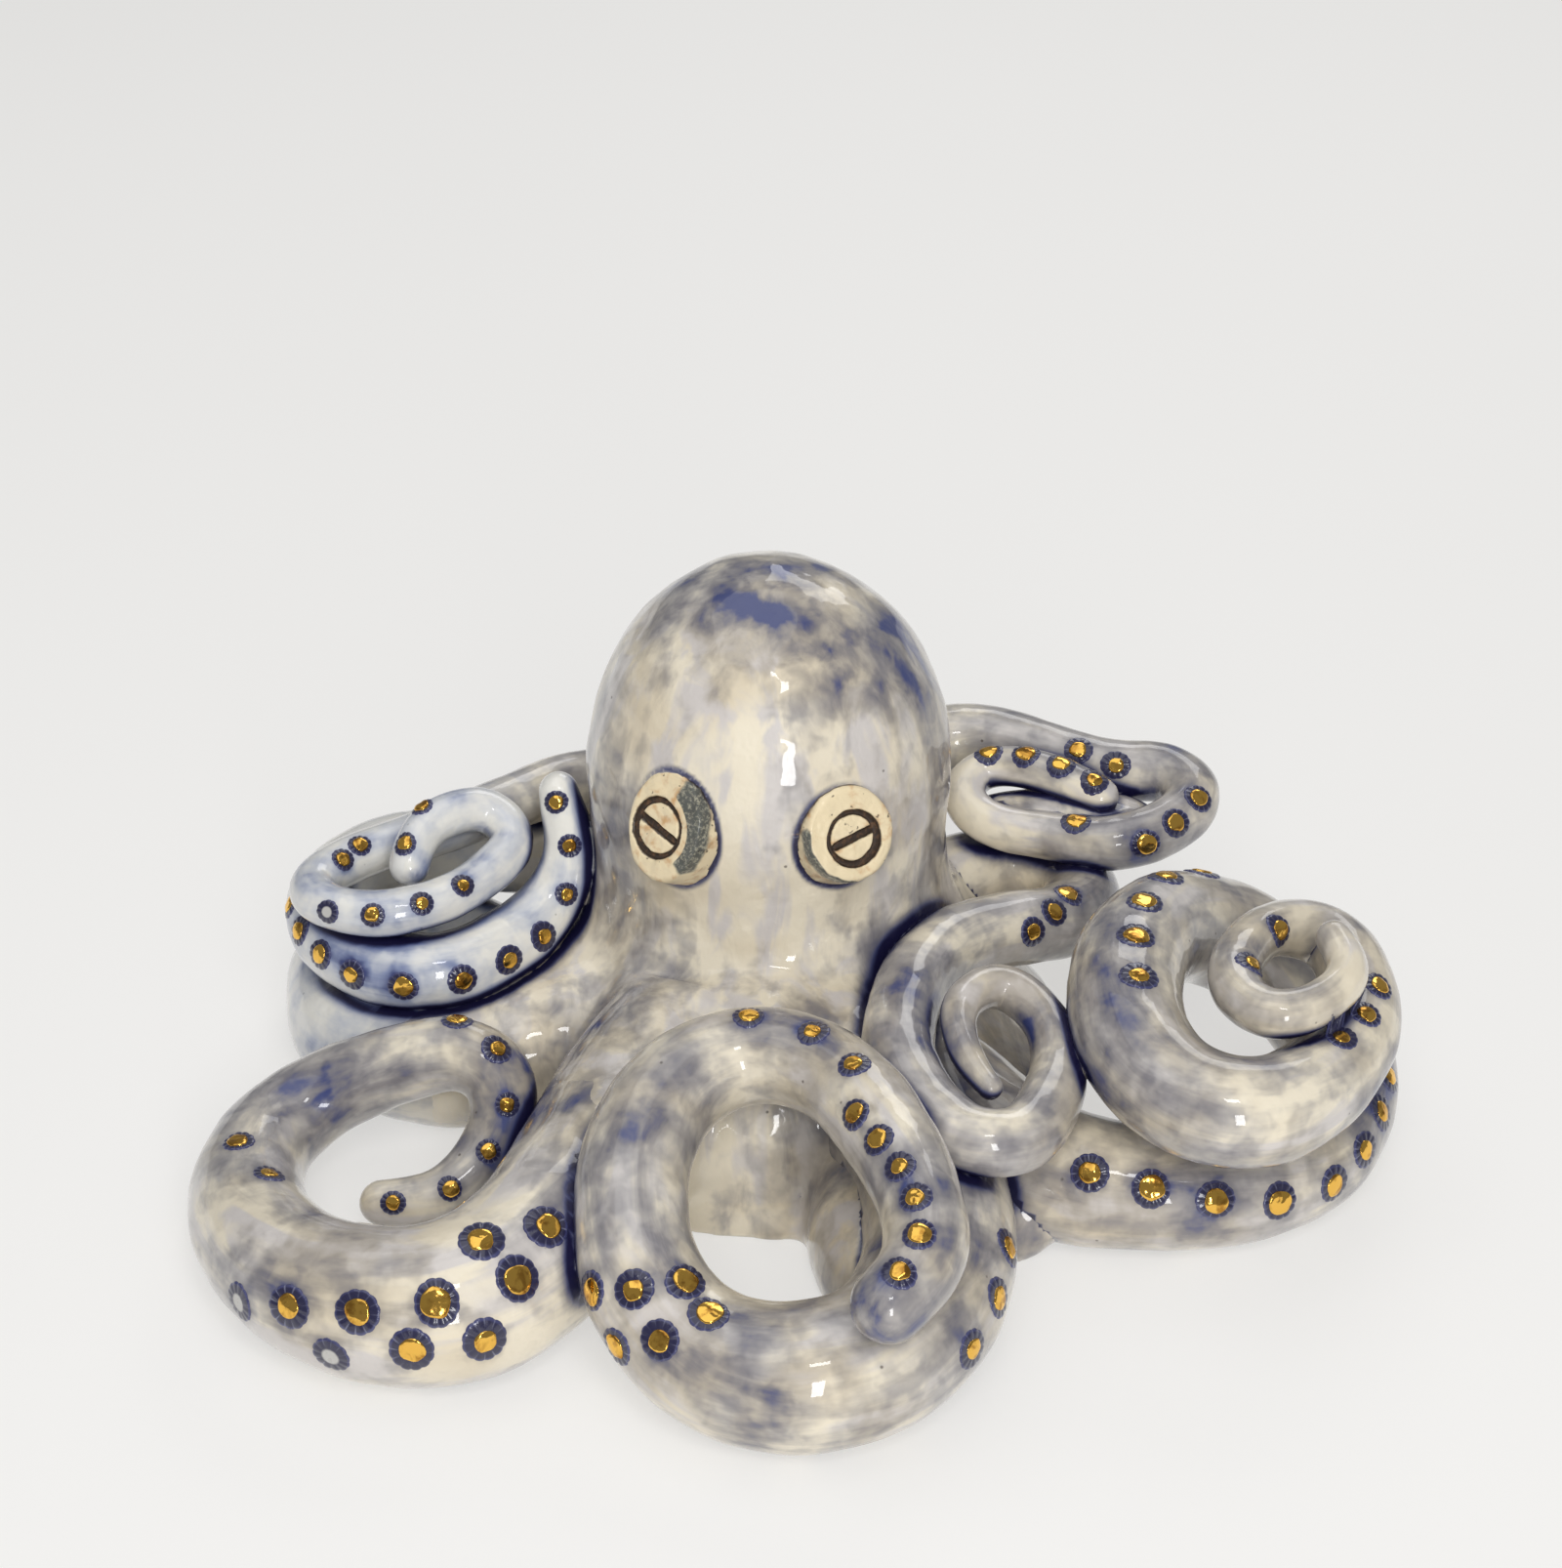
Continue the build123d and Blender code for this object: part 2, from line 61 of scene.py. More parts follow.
class SuckerSize(float, Enum):
    """Diameters of the stamped suckers, in millimetres."""

    LARGE = 9.8
    MEDIUM = 8.6
    SMALL = 7.2
    TINY = 5.6


class Slot(str, Enum):
    """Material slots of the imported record."""

    BODY_GLAZE = "body_glaze"
    ARM_GLAZE = "arm_glaze"
    SUCKER_GLAZE = "sucker_glaze"
    GOLD_LUSTRE = "gold_lustre"
    EYE_GLAZE = "eye_glaze"
    IRON_OXIDE = "iron_oxide"


@dataclass(frozen=True)
class SuckerRow:
    """Suckers in a line along an arm, turning evenly from one facing direction to another."""

    first_share: float
    last_share: float
    count: int
    first_facing: tuple[float, float, float]
    last_facing: tuple[float, float, float]
    diameter: SuckerSize
    gilded: bool = True


@dataclass(frozen=True)
class Wash:
    """A patch of cobalt wash brushed on the clay: its place and reach in millimetres, and its depth."""

    place: tuple[float, float, float]
    reach: float
    depth: float


@dataclass(frozen=True)
class Swell:
    """A soft lump of clay: its middle and its half sizes in millimetres."""

    place: tuple[float, float, float]
    size: tuple[float, float, float]

    def add_to(self, form: bmesh.types.BMesh) -> list[bmesh.types.BMVert]:
        """Put the lump into a form and hand over its points."""
        place = Matrix.Translation(Vector(self.place) * MM)
        size = Matrix.Diagonal((*(half * MM for half in self.size), 1.0))
        made = bmesh.ops.create_uvsphere(
            form, u_segments=48, v_segments=24, radius=1.0, matrix=place @ size
        )
        return made["verts"]


# Each arm's route: places to the side and in depth are shares of its reach, the height of its
# underside and its girth are shares of its thickness
FRONT_ARM_SHARES = (
    (0.06, -0.21, 0.18, 1.00),
    (0.18, -0.37, 0.02, 1.00),
    (0.23, -0.55, 0.00, 0.97),
    (0.21, -0.72, 0.00, 0.94),
    (0.13, -0.83, 0.00, 0.89),
    (0.02, -0.86, 0.00, 0.86),
    (-0.09, -0.82, 0.05, 0.82),
    (-0.17, -0.73, 0.36, 0.74),
    (-0.18, -0.59, 0.70, 0.68),
    (-0.12, -0.47, 0.92, 0.64),
    (-0.02, -0.43, 1.04, 0.60),
    (0.09, -0.49, 1.08, 0.57),
    (0.16, -0.63, 1.08, 0.54),
    (0.20, -0.76, 1.02, 0.51),
    (0.19, -0.85, 0.94, 0.49),
    (0.15, -0.90, 0.89, 0.44),
)
FRONT_LEFT_ARM_SHARES = (
    (-0.10, -0.20, 0.12, 1.00),
    (-0.21, -0.38, 0.02, 0.97),
    (-0.29, -0.57, 0.00, 0.93),
    (-0.39, -0.69, 0.00, 0.90),
    (-0.51, -0.70, 0.00, 0.84),
    (-0.64, -0.61, 0.00, 0.75),
    (-0.71, -0.45, 0.00, 0.65),
    (-0.69, -0.31, 0.08, 0.56),
    (-0.60, -0.26, 0.28, 0.50),
    (-0.50, -0.26, 0.48, 0.46),
    (-0.42, -0.27, 0.56, 0.43),
    (-0.38, -0.29, 0.48, 0.41),
    (-0.37, -0.33, 0.32, 0.38),
    (-0.40, -0.38, 0.17, 0.35),
    (-0.45, -0.42, 0.11, 0.30),
    (-0.53, -0.43, 0.10, 0.26),
)
LEFT_ARM_SHARES = (
    (-0.22, 0.04, 0.27, 1.00),
    (-0.42, -0.16, 0.06, 0.98),
    (-0.62, -0.20, 0.00, 0.94),
    (-0.77, -0.12, 0.00, 0.89),
    (-0.84, 0.06, 0.00, 0.83),
    (-0.81, 0.24, 0.00, 0.77),
    (-0.68, 0.32, 0.00, 0.69),
    (-0.56, 0.28, 0.00, 0.62),
)
REAR_LEFT_ARM_SHARES = (
    (-0.10, 0.28, 0.40, 0.95),
    (-0.37, 0.39, 0.56, 0.86),
    (-0.56, 0.34, 0.75, 0.79),
    (-0.73, 0.27, 0.93, 0.73),
    (-0.84, 0.15, 0.97, 0.70),
    (-0.84, -0.01, 0.98, 0.68),
    (-0.76, -0.11, 0.98, 0.68),
    (-0.64, -0.15, 0.99, 0.66),
    (-0.51, -0.09, 1.05, 0.62),
    (-0.42, 0.00, 1.28, 0.55),
    (-0.38, 0.05, 1.68, 0.46),
    (-0.39, 0.09, 2.02, 0.39),
    (-0.40, 0.11, 2.21, 0.34),
)
BACK_LEFT_ARM_SHARES = (
    (-0.11, 0.25, 1.45, 1.00),
    (-0.26, 0.37, 1.58, 0.83),
    (-0.39, 0.37, 1.72, 0.67),
    (-0.49, 0.28, 1.86, 0.57),
    (-0.60, 0.18, 1.93, 0.53),
    (-0.72, 0.11, 1.92, 0.50),
    (-0.82, 0.04, 1.90, 0.49),
    (-0.86, -0.05, 1.90, 0.48),
    (-0.80, -0.12, 1.92, 0.46),
    (-0.69, -0.13, 1.94, 0.46),
    (-0.59, -0.08, 1.98, 0.45),
    (-0.52, 0.00, 2.04, 0.45),
    (-0.49, 0.07, 2.16, 0.44),
    (-0.53, 0.11, 2.30, 0.44),
    (-0.60, 0.09, 2.37, 0.43),
    (-0.66, 0.04, 2.28, 0.42),
    (-0.68, -0.01, 2.10, 0.40),
)
BACK_RIGHT_ARM_SHARES = (
    (0.12, 0.24, 0.95, 1.00),
    (0.23, 0.44, 1.25, 0.88),
    (0.36, 0.55, 1.50, 0.77),
    (0.51, 0.52, 1.63, 0.67),
    (0.64, 0.44, 1.66, 0.62),
    (0.75, 0.41, 1.67, 0.59),
    (0.84, 0.38, 1.69, 0.56),
    (0.87, 0.30, 1.66, 0.54),
    (0.80, 0.22, 1.58, 0.52),
    (0.67, 0.19, 1.52, 0.49),
    (0.55, 0.23, 1.52, 0.46),
    (0.45, 0.265, 1.58, 0.42),
    (0.405, 0.32, 1.72, 0.40),
    (0.435, 0.375, 1.84, 0.39),
    (0.51, 0.37, 1.92, 0.39),
    (0.60, 0.325, 1.92, 0.38),
    (0.68, 0.285, 1.85, 0.35),
)
RIGHT_ARM_SHARES = (
    (0.15, 0.05, 0.56, 1.00),
    (0.38, 0.26, 0.62, 0.84),
    (0.54, 0.32, 0.66, 0.74),
    (0.66, 0.22, 0.76, 0.70),
    (0.62, 0.05, 0.92, 0.67),
    (0.49, -0.05, 1.09, 0.64),
    (0.35, -0.17, 1.21, 0.62),
    (0.27, -0.37, 1.25, 0.61),
    (0.26, -0.56, 1.23, 0.59),
    (0.31, -0.69, 1.18, 0.57),
    (0.38, -0.77, 1.15, 0.56),
    (0.46, -0.77, 1.14, 0.54),
    (0.53, -0.67, 1.18, 0.51),
    (0.56, -0.54, 1.27, 0.46),
    (0.53, -0.42, 1.41, 0.42),
    (0.46, -0.37, 1.53, 0.38),
    (0.39, -0.42, 1.58, 0.34),
    (0.37, -0.53, 1.57, 0.30),
    (0.39, -0.61, 1.53, 0.27),
    (0.42, -0.67, 1.52, 0.22),
)
FRONT_RIGHT_ARM_SHARES = (
    (0.11, -0.15, 0.27, 1.00),
    (0.25, -0.28, 0.10, 1.00),
    (0.37, -0.41, 0.00, 0.97),
    (0.49, -0.45, 0.00, 0.91),
    (0.62, -0.45, 0.00, 0.88),
    (0.75, -0.39, 0.00, 0.84),
    (0.83, -0.26, 0.03, 0.83),
    (0.83, -0.12, 0.17, 0.81),
    (0.76, -0.04, 0.48, 0.82),
    (0.64, -0.05, 0.88, 0.83),
    (0.53, -0.19, 1.14, 0.83),
    (0.50, -0.36, 1.13, 0.81),
    (0.55, -0.49, 1.03, 0.80),
    (0.65, -0.53, 0.99, 0.77),
    (0.75, -0.47, 1.02, 0.70),
    (0.82, -0.36, 1.12, 0.61),
    (0.835, -0.25, 1.27, 0.52),
    (0.795, -0.175, 1.42, 0.45),
    (0.73, -0.19, 1.55, 0.41),
    (0.67, -0.27, 1.63, 0.38),
    (0.65, -0.37, 1.66, 0.36),
    (0.69, -0.43, 1.68, 0.34),
    (0.75, -0.42, 1.73, 0.31),
    (0.80, -0.36, 1.82, 0.29),
    (0.79, -0.30, 1.90, 0.26),
)


FRONT_ARM_SUCKERS = (
    SuckerRow(0.718, 0.809, 3, (-0.12, 0.01, 0.99), (-0.15, -0.09, 0.98), SuckerSize.SMALL),
    SuckerRow(0.847, 0.990, 6, (-0.65, -0.28, 0.71), (0.05, -0.25, 0.97), SuckerSize.SMALL),
    SuckerRow(0.514, 0.489, 3, (-0.81, -0.54, 0.22), (0.38, -0.32, 0.87), SuckerSize.MEDIUM),
    SuckerRow(0.485, 0.452, 3, (-0.74, -0.67, 0.00), (0.11, -0.28, 0.95), SuckerSize.MEDIUM),
    SuckerRow(0.241, 0.305, 3, (0.88, -0.15, 0.45), (0.85, -0.50, 0.17), SuckerSize.MEDIUM),
)
FRONT_LEFT_ARM_SUCKERS = (
    SuckerRow(0.275, 0.312, 2, (0.39, -0.32, 0.87), (0.10, -0.24, 0.97), SuckerSize.LARGE),
    SuckerRow(0.305, 0.420, 4, (0.41, -0.64, 0.64), (-0.47, -0.78, 0.42), SuckerSize.LARGE),
    SuckerRow(0.326, 0.357, 2, (0.34, -0.93, 0.12), (0.02, -0.98, 0.12), SuckerSize.LARGE),
    SuckerRow(0.396, 0.458, 2, (-0.25, -0.96, -0.10), (-0.72, -0.69, 0.10), SuckerSize.MEDIUM, False),
    SuckerRow(0.533, 0.586, 2, (0.30, 0.18, 0.94), (-0.09, 0.02, 1.00), SuckerSize.SMALL),
    SuckerRow(0.810, 0.835, 2, (0.30, 0.14, 0.92), (0.40, -0.40, 0.82), SuckerSize.SMALL),
    SuckerRow(0.871, 0.990, 4, (0.20, -0.71, 0.69), (-0.02, -0.80, 0.60), SuckerSize.TINY),
)
REAR_LEFT_ARM_SUCKERS = (
    SuckerRow(0.545, 0.654, 4, (-0.75, -0.35, 0.50), (-0.42, -0.87, 0.20), SuckerSize.SMALL),
    SuckerRow(0.697, 0.830, 4, (-0.11, -0.98, 0.17), (0.61, -0.72, 0.30), SuckerSize.SMALL),
    SuckerRow(0.891, 0.990, 3, (0.30, -0.86, 0.30), (-0.19, -0.89, 0.42), SuckerSize.TINY),
)
BACK_LEFT_ARM_SUCKERS = (
    SuckerRow(0.604, 0.604, 1, (-0.40, -0.81, 0.42), (-0.40, -0.81, 0.42), SuckerSize.TINY, False),
    SuckerRow(0.644, 0.735, 3, (0.01, -0.87, 0.50), (0.40, -0.51, 0.77), SuckerSize.TINY),
    SuckerRow(0.475, 0.505, 2, (0.40, -0.30, 0.86), (0.50, -0.45, 0.72), SuckerSize.TINY),
    SuckerRow(0.945, 0.985, 2, (-0.50, 0.00, 0.86), (-0.30, -0.50, 0.80), SuckerSize.TINY),
)
BACK_RIGHT_ARM_SUCKERS = (
    SuckerRow(0.875, 0.990, 4, (-0.30, -0.10, 0.95), (0.10, -0.35, 0.92), SuckerSize.SMALL),
    SuckerRow(0.386, 0.425, 2, (-0.13, -0.56, 0.82), (-0.15, -0.75, 0.60), SuckerSize.SMALL),
    SuckerRow(0.552, 0.618, 3, (0.40, -0.36, 0.85), (0.40, -0.82, 0.34), SuckerSize.SMALL),
    SuckerRow(0.684, 0.684, 1, (-0.07, -0.07, 1.00), (-0.07, -0.07, 1.00), SuckerSize.SMALL),
)
RIGHT_ARM_SUCKERS = (
    SuckerRow(0.312, 0.358, 3, (0.34, -0.04, 0.94), (0.55, -0.72, 0.41), SuckerSize.SMALL),
)
FRONT_RIGHT_ARM_SUCKERS = (
    SuckerRow(0.158, 0.234, 4, (-0.12, -0.70, 0.71), (0.35, -0.90, 0.26), SuckerSize.MEDIUM),
    SuckerRow(0.259, 0.320, 4, (0.61, -0.77, 0.20), (0.74, -0.20, 0.64), SuckerSize.MEDIUM),
    SuckerRow(0.460, 0.575, 5, (0.10, 0.45, 0.90), (0.15, -0.10, 0.98), SuckerSize.MEDIUM),
    SuckerRow(0.715, 0.762, 3, (0.11, -0.15, 0.98), (0.36, -0.22, 0.90), SuckerSize.SMALL),
    SuckerRow(0.854, 0.900, 2, (0.72, -0.40, 0.57), (0.57, 0.06, 0.82), SuckerSize.SMALL),
)


@dataclass(frozen=True)
class ArmPlan:
    """One arm's name, sizes in millimetres, route, suckers and finish."""

    name: str
    reach: float
    thickness: float
    shares: Shares
    suckers: tuple[SuckerRow, ...]
    web_length: float = 62.0
    web_swell: tuple[float, float] = (1.05, 0.82)
    pale_from: float = math.inf
    filling: Swell | None = None


ARM_PLANS = (
    ArmPlan("left_arm", 125.0, 32.0, LEFT_ARM_SHARES, (), 74.0, (1.24, 0.98), pale_from=52.0),
    ArmPlan(
        "front_left_arm",
        165.0,
        40.0,
        FRONT_LEFT_ARM_SHARES,
        FRONT_LEFT_ARM_SUCKERS,
        web_length=80.0,
        web_swell=(1.16, 0.84),
    ),
    ArmPlan("rear_left_arm", 125.0, 28.0, REAR_LEFT_ARM_SHARES, REAR_LEFT_ARM_SUCKERS, pale_from=40.0),
    ArmPlan("back_left_arm", 125.0, 24.0, BACK_LEFT_ARM_SHARES, BACK_LEFT_ARM_SUCKERS, pale_from=55.0),
    ArmPlan("front_arm", 160.0, 36.0, FRONT_ARM_SHARES, FRONT_ARM_SUCKERS, 70.0, (1.12, 0.82)),
    ArmPlan("front_right_arm", 160.0, 32.0, FRONT_RIGHT_ARM_SHARES, FRONT_RIGHT_ARM_SUCKERS, 85.0),
    ArmPlan("right_arm", 115.0, 28.0, RIGHT_ARM_SHARES, RIGHT_ARM_SUCKERS),
    ArmPlan(
        "back_right_arm",
        120.0,
        26.0,
        BACK_RIGHT_ARM_SHARES,
        BACK_RIGHT_ARM_SUCKERS,
        filling=Swell((71.0, 35.0, 45.5), (25.0, 10.5, 5.5)),
    ),
)

# Cobalt brushed on the clay, and bare places where it was wiped off again
WASHES = (
    Wash((0, 10, 126), 26, 0.52),
    Wash((3, -3, 124), 7, 0.45),
    Wash((-12, 7, 125), 6, 0.40),
    Wash((10, -5, 121), 6, 0.40),
    Wash((-22, 17, 119), 7, 0.35),
    Wash((-6, 0, 124), 5, 0.40),
    Wash((16, -14, 111), 5, 0.40),
    Wash((13, -9, 118), 5, 0.35),
    Wash((12, 17, 125), 8, 0.35),
    Wash((26, -9, 108), 7, 0.30),
    Wash((-24, 6, 116), 15, 0.30),
    Wash((30, 6, 110), 22, 0.42),
    Wash((36, 2, 92), 22, 0.34),
    Wash((38, -6, 74), 18, 0.30),
    Wash((-4, 44, 112), 24, 0.40),
    Wash((-28, 40, 84), 22, 0.35),
    Wash((24, 48, 70), 24, 0.40),
    Wash((-40, 14, 60), 18, 0.25),
    Wash((-20, -36, 42), 13, 0.30),
    Wash((-44, -40, 30), 22, 0.60),
    Wash((-58, -60, 18), 22, 0.48),
    Wash((-5, -38, 42), 12, 0.32),
    Wash((24, -28, 46), 12, 0.40),
    Wash((40, -52, 26), 20, 0.30),
    Wash((57, -76, 8), 13, 0.85),
    Wash((-3, -31, 84), 24, -0.26),
    Wash((-10, -24, 104), 22, -0.30),
    Wash((6, -31, 60), 17, -0.22),
    Wash((-36, -3, 90), 16, -0.20),
    Wash((-108, -19, 19), 14, 0.12),
    Wash((-104, 8, 24), 16, 0.25),
    Wash((-100, -15, 36), 12, 0.38),
    Wash((-82, -21, 36), 17, 0.30),
    Wash((-29, -108, 34), 24, 0.36),
    Wash((-120, -80, 25), 17, 0.30),
    Wash((-102, -53, 23), 18, 0.45),
    Wash((-70, -125, 14), 30, -0.30),
    Wash((-50, -124, 22), 22, -0.20),
    Wash((-21, -93, 47), 15, 0.25),
    Wash((-34, -118, 38), 13, 0.25),
    Wash((-32, -106, 36), 9, -0.35),
    Wash((-19, -81, 54), 13, 0.35),
    Wash((23, -97, 58), 16, -0.20),
    Wash((2, -152, 20), 14, 0.35),
    Wash((24, -150, 20), 16, -0.30),
    Wash((30, -140, 44), 9, -0.20),
    Wash((31, -43, 51), 13, 0.40),
    Wash((58, -55, 43), 13, 0.30),
    Wash((87, -82, 57), 14, 0.12),
    Wash((105, -96, 49), 16, -0.30),
    Wash((129, -75, 52), 14, 0.15),
    Wash((78, -60, 66), 18, 0.05),
    Wash((107, -4, 52), 17, 0.30),
    Wash((112, -81, 8), 20, -0.25),
    Wash((97, 40, 53), 15, 0.45),
    Wash((83, 17, 47), 15, 0.35),
    Wash((-16, -60, 24), 20, -0.20),
)


class SmoothLine:
    """A natural cubic curve through knots of place and radius, spaced by their distance."""

    def __init__(self, knots: np.ndarray) -> None:
        """Solve the curve's bends.

        Args:
            knots: One row for each knot: x, y, z and radius.
        """
        self.knots = knots
        self.gaps = np.linalg.norm(np.diff(knots[:, :3], axis=0), axis=1)
        self.times = np.concatenate([[0.0], np.cumsum(self.gaps)])
        count = len(knots)
        system = np.eye(count)
        right = np.zeros_like(knots)
        slopes = np.diff(knots, axis=0) / self.gaps[:, None]
        for index in range(1, count - 1):
            before, after = self.gaps[index - 1], self.gaps[index]
            system[index, index - 1 : index + 2] = before, 2 * (before + after), after
            right[index] = 6 * (slopes[index] - slopes[index - 1])
        self.bends = np.linalg.solve(system, right)

    def at(self, shares: np.ndarray) -> np.ndarray:
        """Places and radii at shares of the curve.

        Args:
            shares: Shares of the whole, from 0 to 1.

        Returns:
            One row for each share: x, y, z and radius.
        """
        times = np.clip(shares, 0, 1) * self.times[-1]
        span = np.clip(np.searchsorted(self.times, times, "right") - 1, 0, len(self.gaps) - 1)
        width = self.gaps[span][:, None]
        late = (times - self.times[span])[:, None]
        early = width - late
        start, end = self.bends[span], self.bends[span + 1]
        curve = (start * early**3 + end * late**3) / (6 * width)
        curve += (self.knots[span] / width - start * width / 6) * early
        return curve + (self.knots[span + 1] / width - end * width / 6) * late


def clay_lumps(place: Vector, seed: float) -> float:
    """How far hand-worked clay stands above or below its smooth form.

    Args:
        place: A place on the smooth form, in metres.
        seed: Shifts the lumps so that each piece has its own.

    Returns:
        The height in metres.
    """
    shift = Vector((seed, seed * 0.7, -seed))
    broad = noise.noise(place * 34.0 + shift)
    middle = noise.noise(place * 95.0 + shift)
    fine = noise.noise(place * 260.0 - shift)
    return (0.80 * broad + 0.40 * middle + 0.10 * fine) * MM


def give_attribute(piece: bpy.types.Object, name: str, values: np.ndarray) -> None:
    """Store one value or vector for each point of a piece.

    Args:
        piece: The mesh object.
        name: The attribute's name.
        values: One row for each point.
    """
    vector = values.ndim == 2
    kind = "FLOAT_VECTOR" if vector else "FLOAT"
    attribute = piece.data.attributes.new(name, kind, "POINT")
    attribute.data.foreach_set("vector" if vector else "value", values.astype(np.float32).ravel())


def points_of(piece: bpy.types.Object) -> np.ndarray:
    """All points of a piece's mesh as rows of x, y and z."""
    places = np.empty(len(piece.data.vertices) * 3, np.float32)
    piece.data.vertices.foreach_get("co", places)
    return places.reshape(-1, 3)


def washes_of(piece: bpy.types.Object) -> np.ndarray:
    """Depth of the cobalt wash on each point of a piece, where 0 is plain and 1 is deep."""
    places = points_of(piece)
    depth = np.zeros(len(places))
    for wash in WASHES:
        away = np.linalg.norm(places - np.array(wash.place) * MM, axis=1) / (wash.reach * MM)
        depth += wash.depth * np.exp(-2.2 * away**2)
    return depth


def make_piece(form: bmesh.types.BMesh, name: str, nodes: tuple[str, ...]) -> bpy.types.Object:
    """Turn a finished form into a piece that stands for its nodes.

    Args:
        form: The form, which is freed.
        name: The piece's name.
        nodes: The nodes of the frame that it replaces.

    Returns:
        The new mesh object.
    """
    mesh = bpy.data.meshes.new(name)
    form.to_mesh(mesh)
    form.free()
    mesh.shade_smooth()
    piece = bpy.data.objects.new(name, mesh)
    bpy.context.scene.collection.objects.link(piece)
    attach(piece, "root")
    if nodes:
        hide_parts(*nodes)
    return piece


def straight_tube(sides: int, rings: int) -> bmesh.types.BMesh:
    """A closed tube of radius 1 whose rings stand 1 apart, ready to be bent on to a route.

    Args:
        sides: Corners of each ring.
        rings: Rings along the tube.

    Returns:
        The tube along +Z from height 0.
    """
    form = bmesh.new()
    bmesh.ops.create_circle(form, segments=sides, radius=1.0)
    bmesh.ops.spin(
        form,
        geom=form.edges[:],
        cent=(0, 0, 0),
        axis=(0, 0, 1),
        dvec=(0, 0, 1),
        angle=0,
        steps=rings - 1,
        use_merge=False,
        use_duplicate=False,
    )
    bmesh.ops.edgeloop_fill(form, edges=[edge for edge in form.edges if edge.is_boundary])
    return form


def drop_specks(form: bmesh.types.BMesh) -> None:
    """Delete all but the largest joined part of a form."""
    parts: list[list[bmesh.types.BMVert]] = []
    seen: set[bmesh.types.BMVert] = set()
    for start in form.verts:
        if start in seen:
            continue
        seen.add(start)
        part = [start]
        for vert in part:
            for edge in vert.link_edges:
                other = edge.other_vert(vert)
                if other not in seen:
                    seen.add(other)
                    part.append(other)
        parts.append(part)
    largest = max(parts, key=len)
    specks = [vert for part in parts if part is not largest for vert in part]
    bmesh.ops.delete(form, geom=specks, context="VERTS")


def join(form: bmesh.types.BMesh, part: bmesh.types.BMesh) -> None:
    """Add a part to a form and free the part."""
    mesh = bpy.data.meshes.new("part")
    part.to_mesh(mesh)
    part.free()
    form.from_mesh(mesh)
    bpy.data.meshes.remove(mesh)


def turn_round(form: bmesh.types.BMesh, steps: int, closeness: float) -> None:
    """Spin a form's outline once round Z, close its seam and poles, and turn its faces outwards.

    Args:
        form: The form, which holds only the outline.
        steps: Copies of the outline in one turn.
        closeness: Distance under which points are merged.
    """
    bmesh.ops.spin(
        form,
        geom=form.verts[:] + form.edges[:],
        cent=(0, 0, 0),
        axis=(0, 0, 1),
        angle=math.tau,
        steps=steps,
        use_merge=True,
    )
    bmesh.ops.remove_doubles(form, verts=form.verts[:], dist=closeness)
    bmesh.ops.recalc_face_normals(form, faces=form.faces[:])


def face_outward(form: bmesh.types.BMesh) -> None:
    """Turn all faces of a closed form outwards."""
    bmesh.ops.recalc_face_normals(form, faces=form.faces[:])
    if form.calc_volume(signed=True) < 0:
        bmesh.ops.reverse_faces(form, faces=form.faces[:])


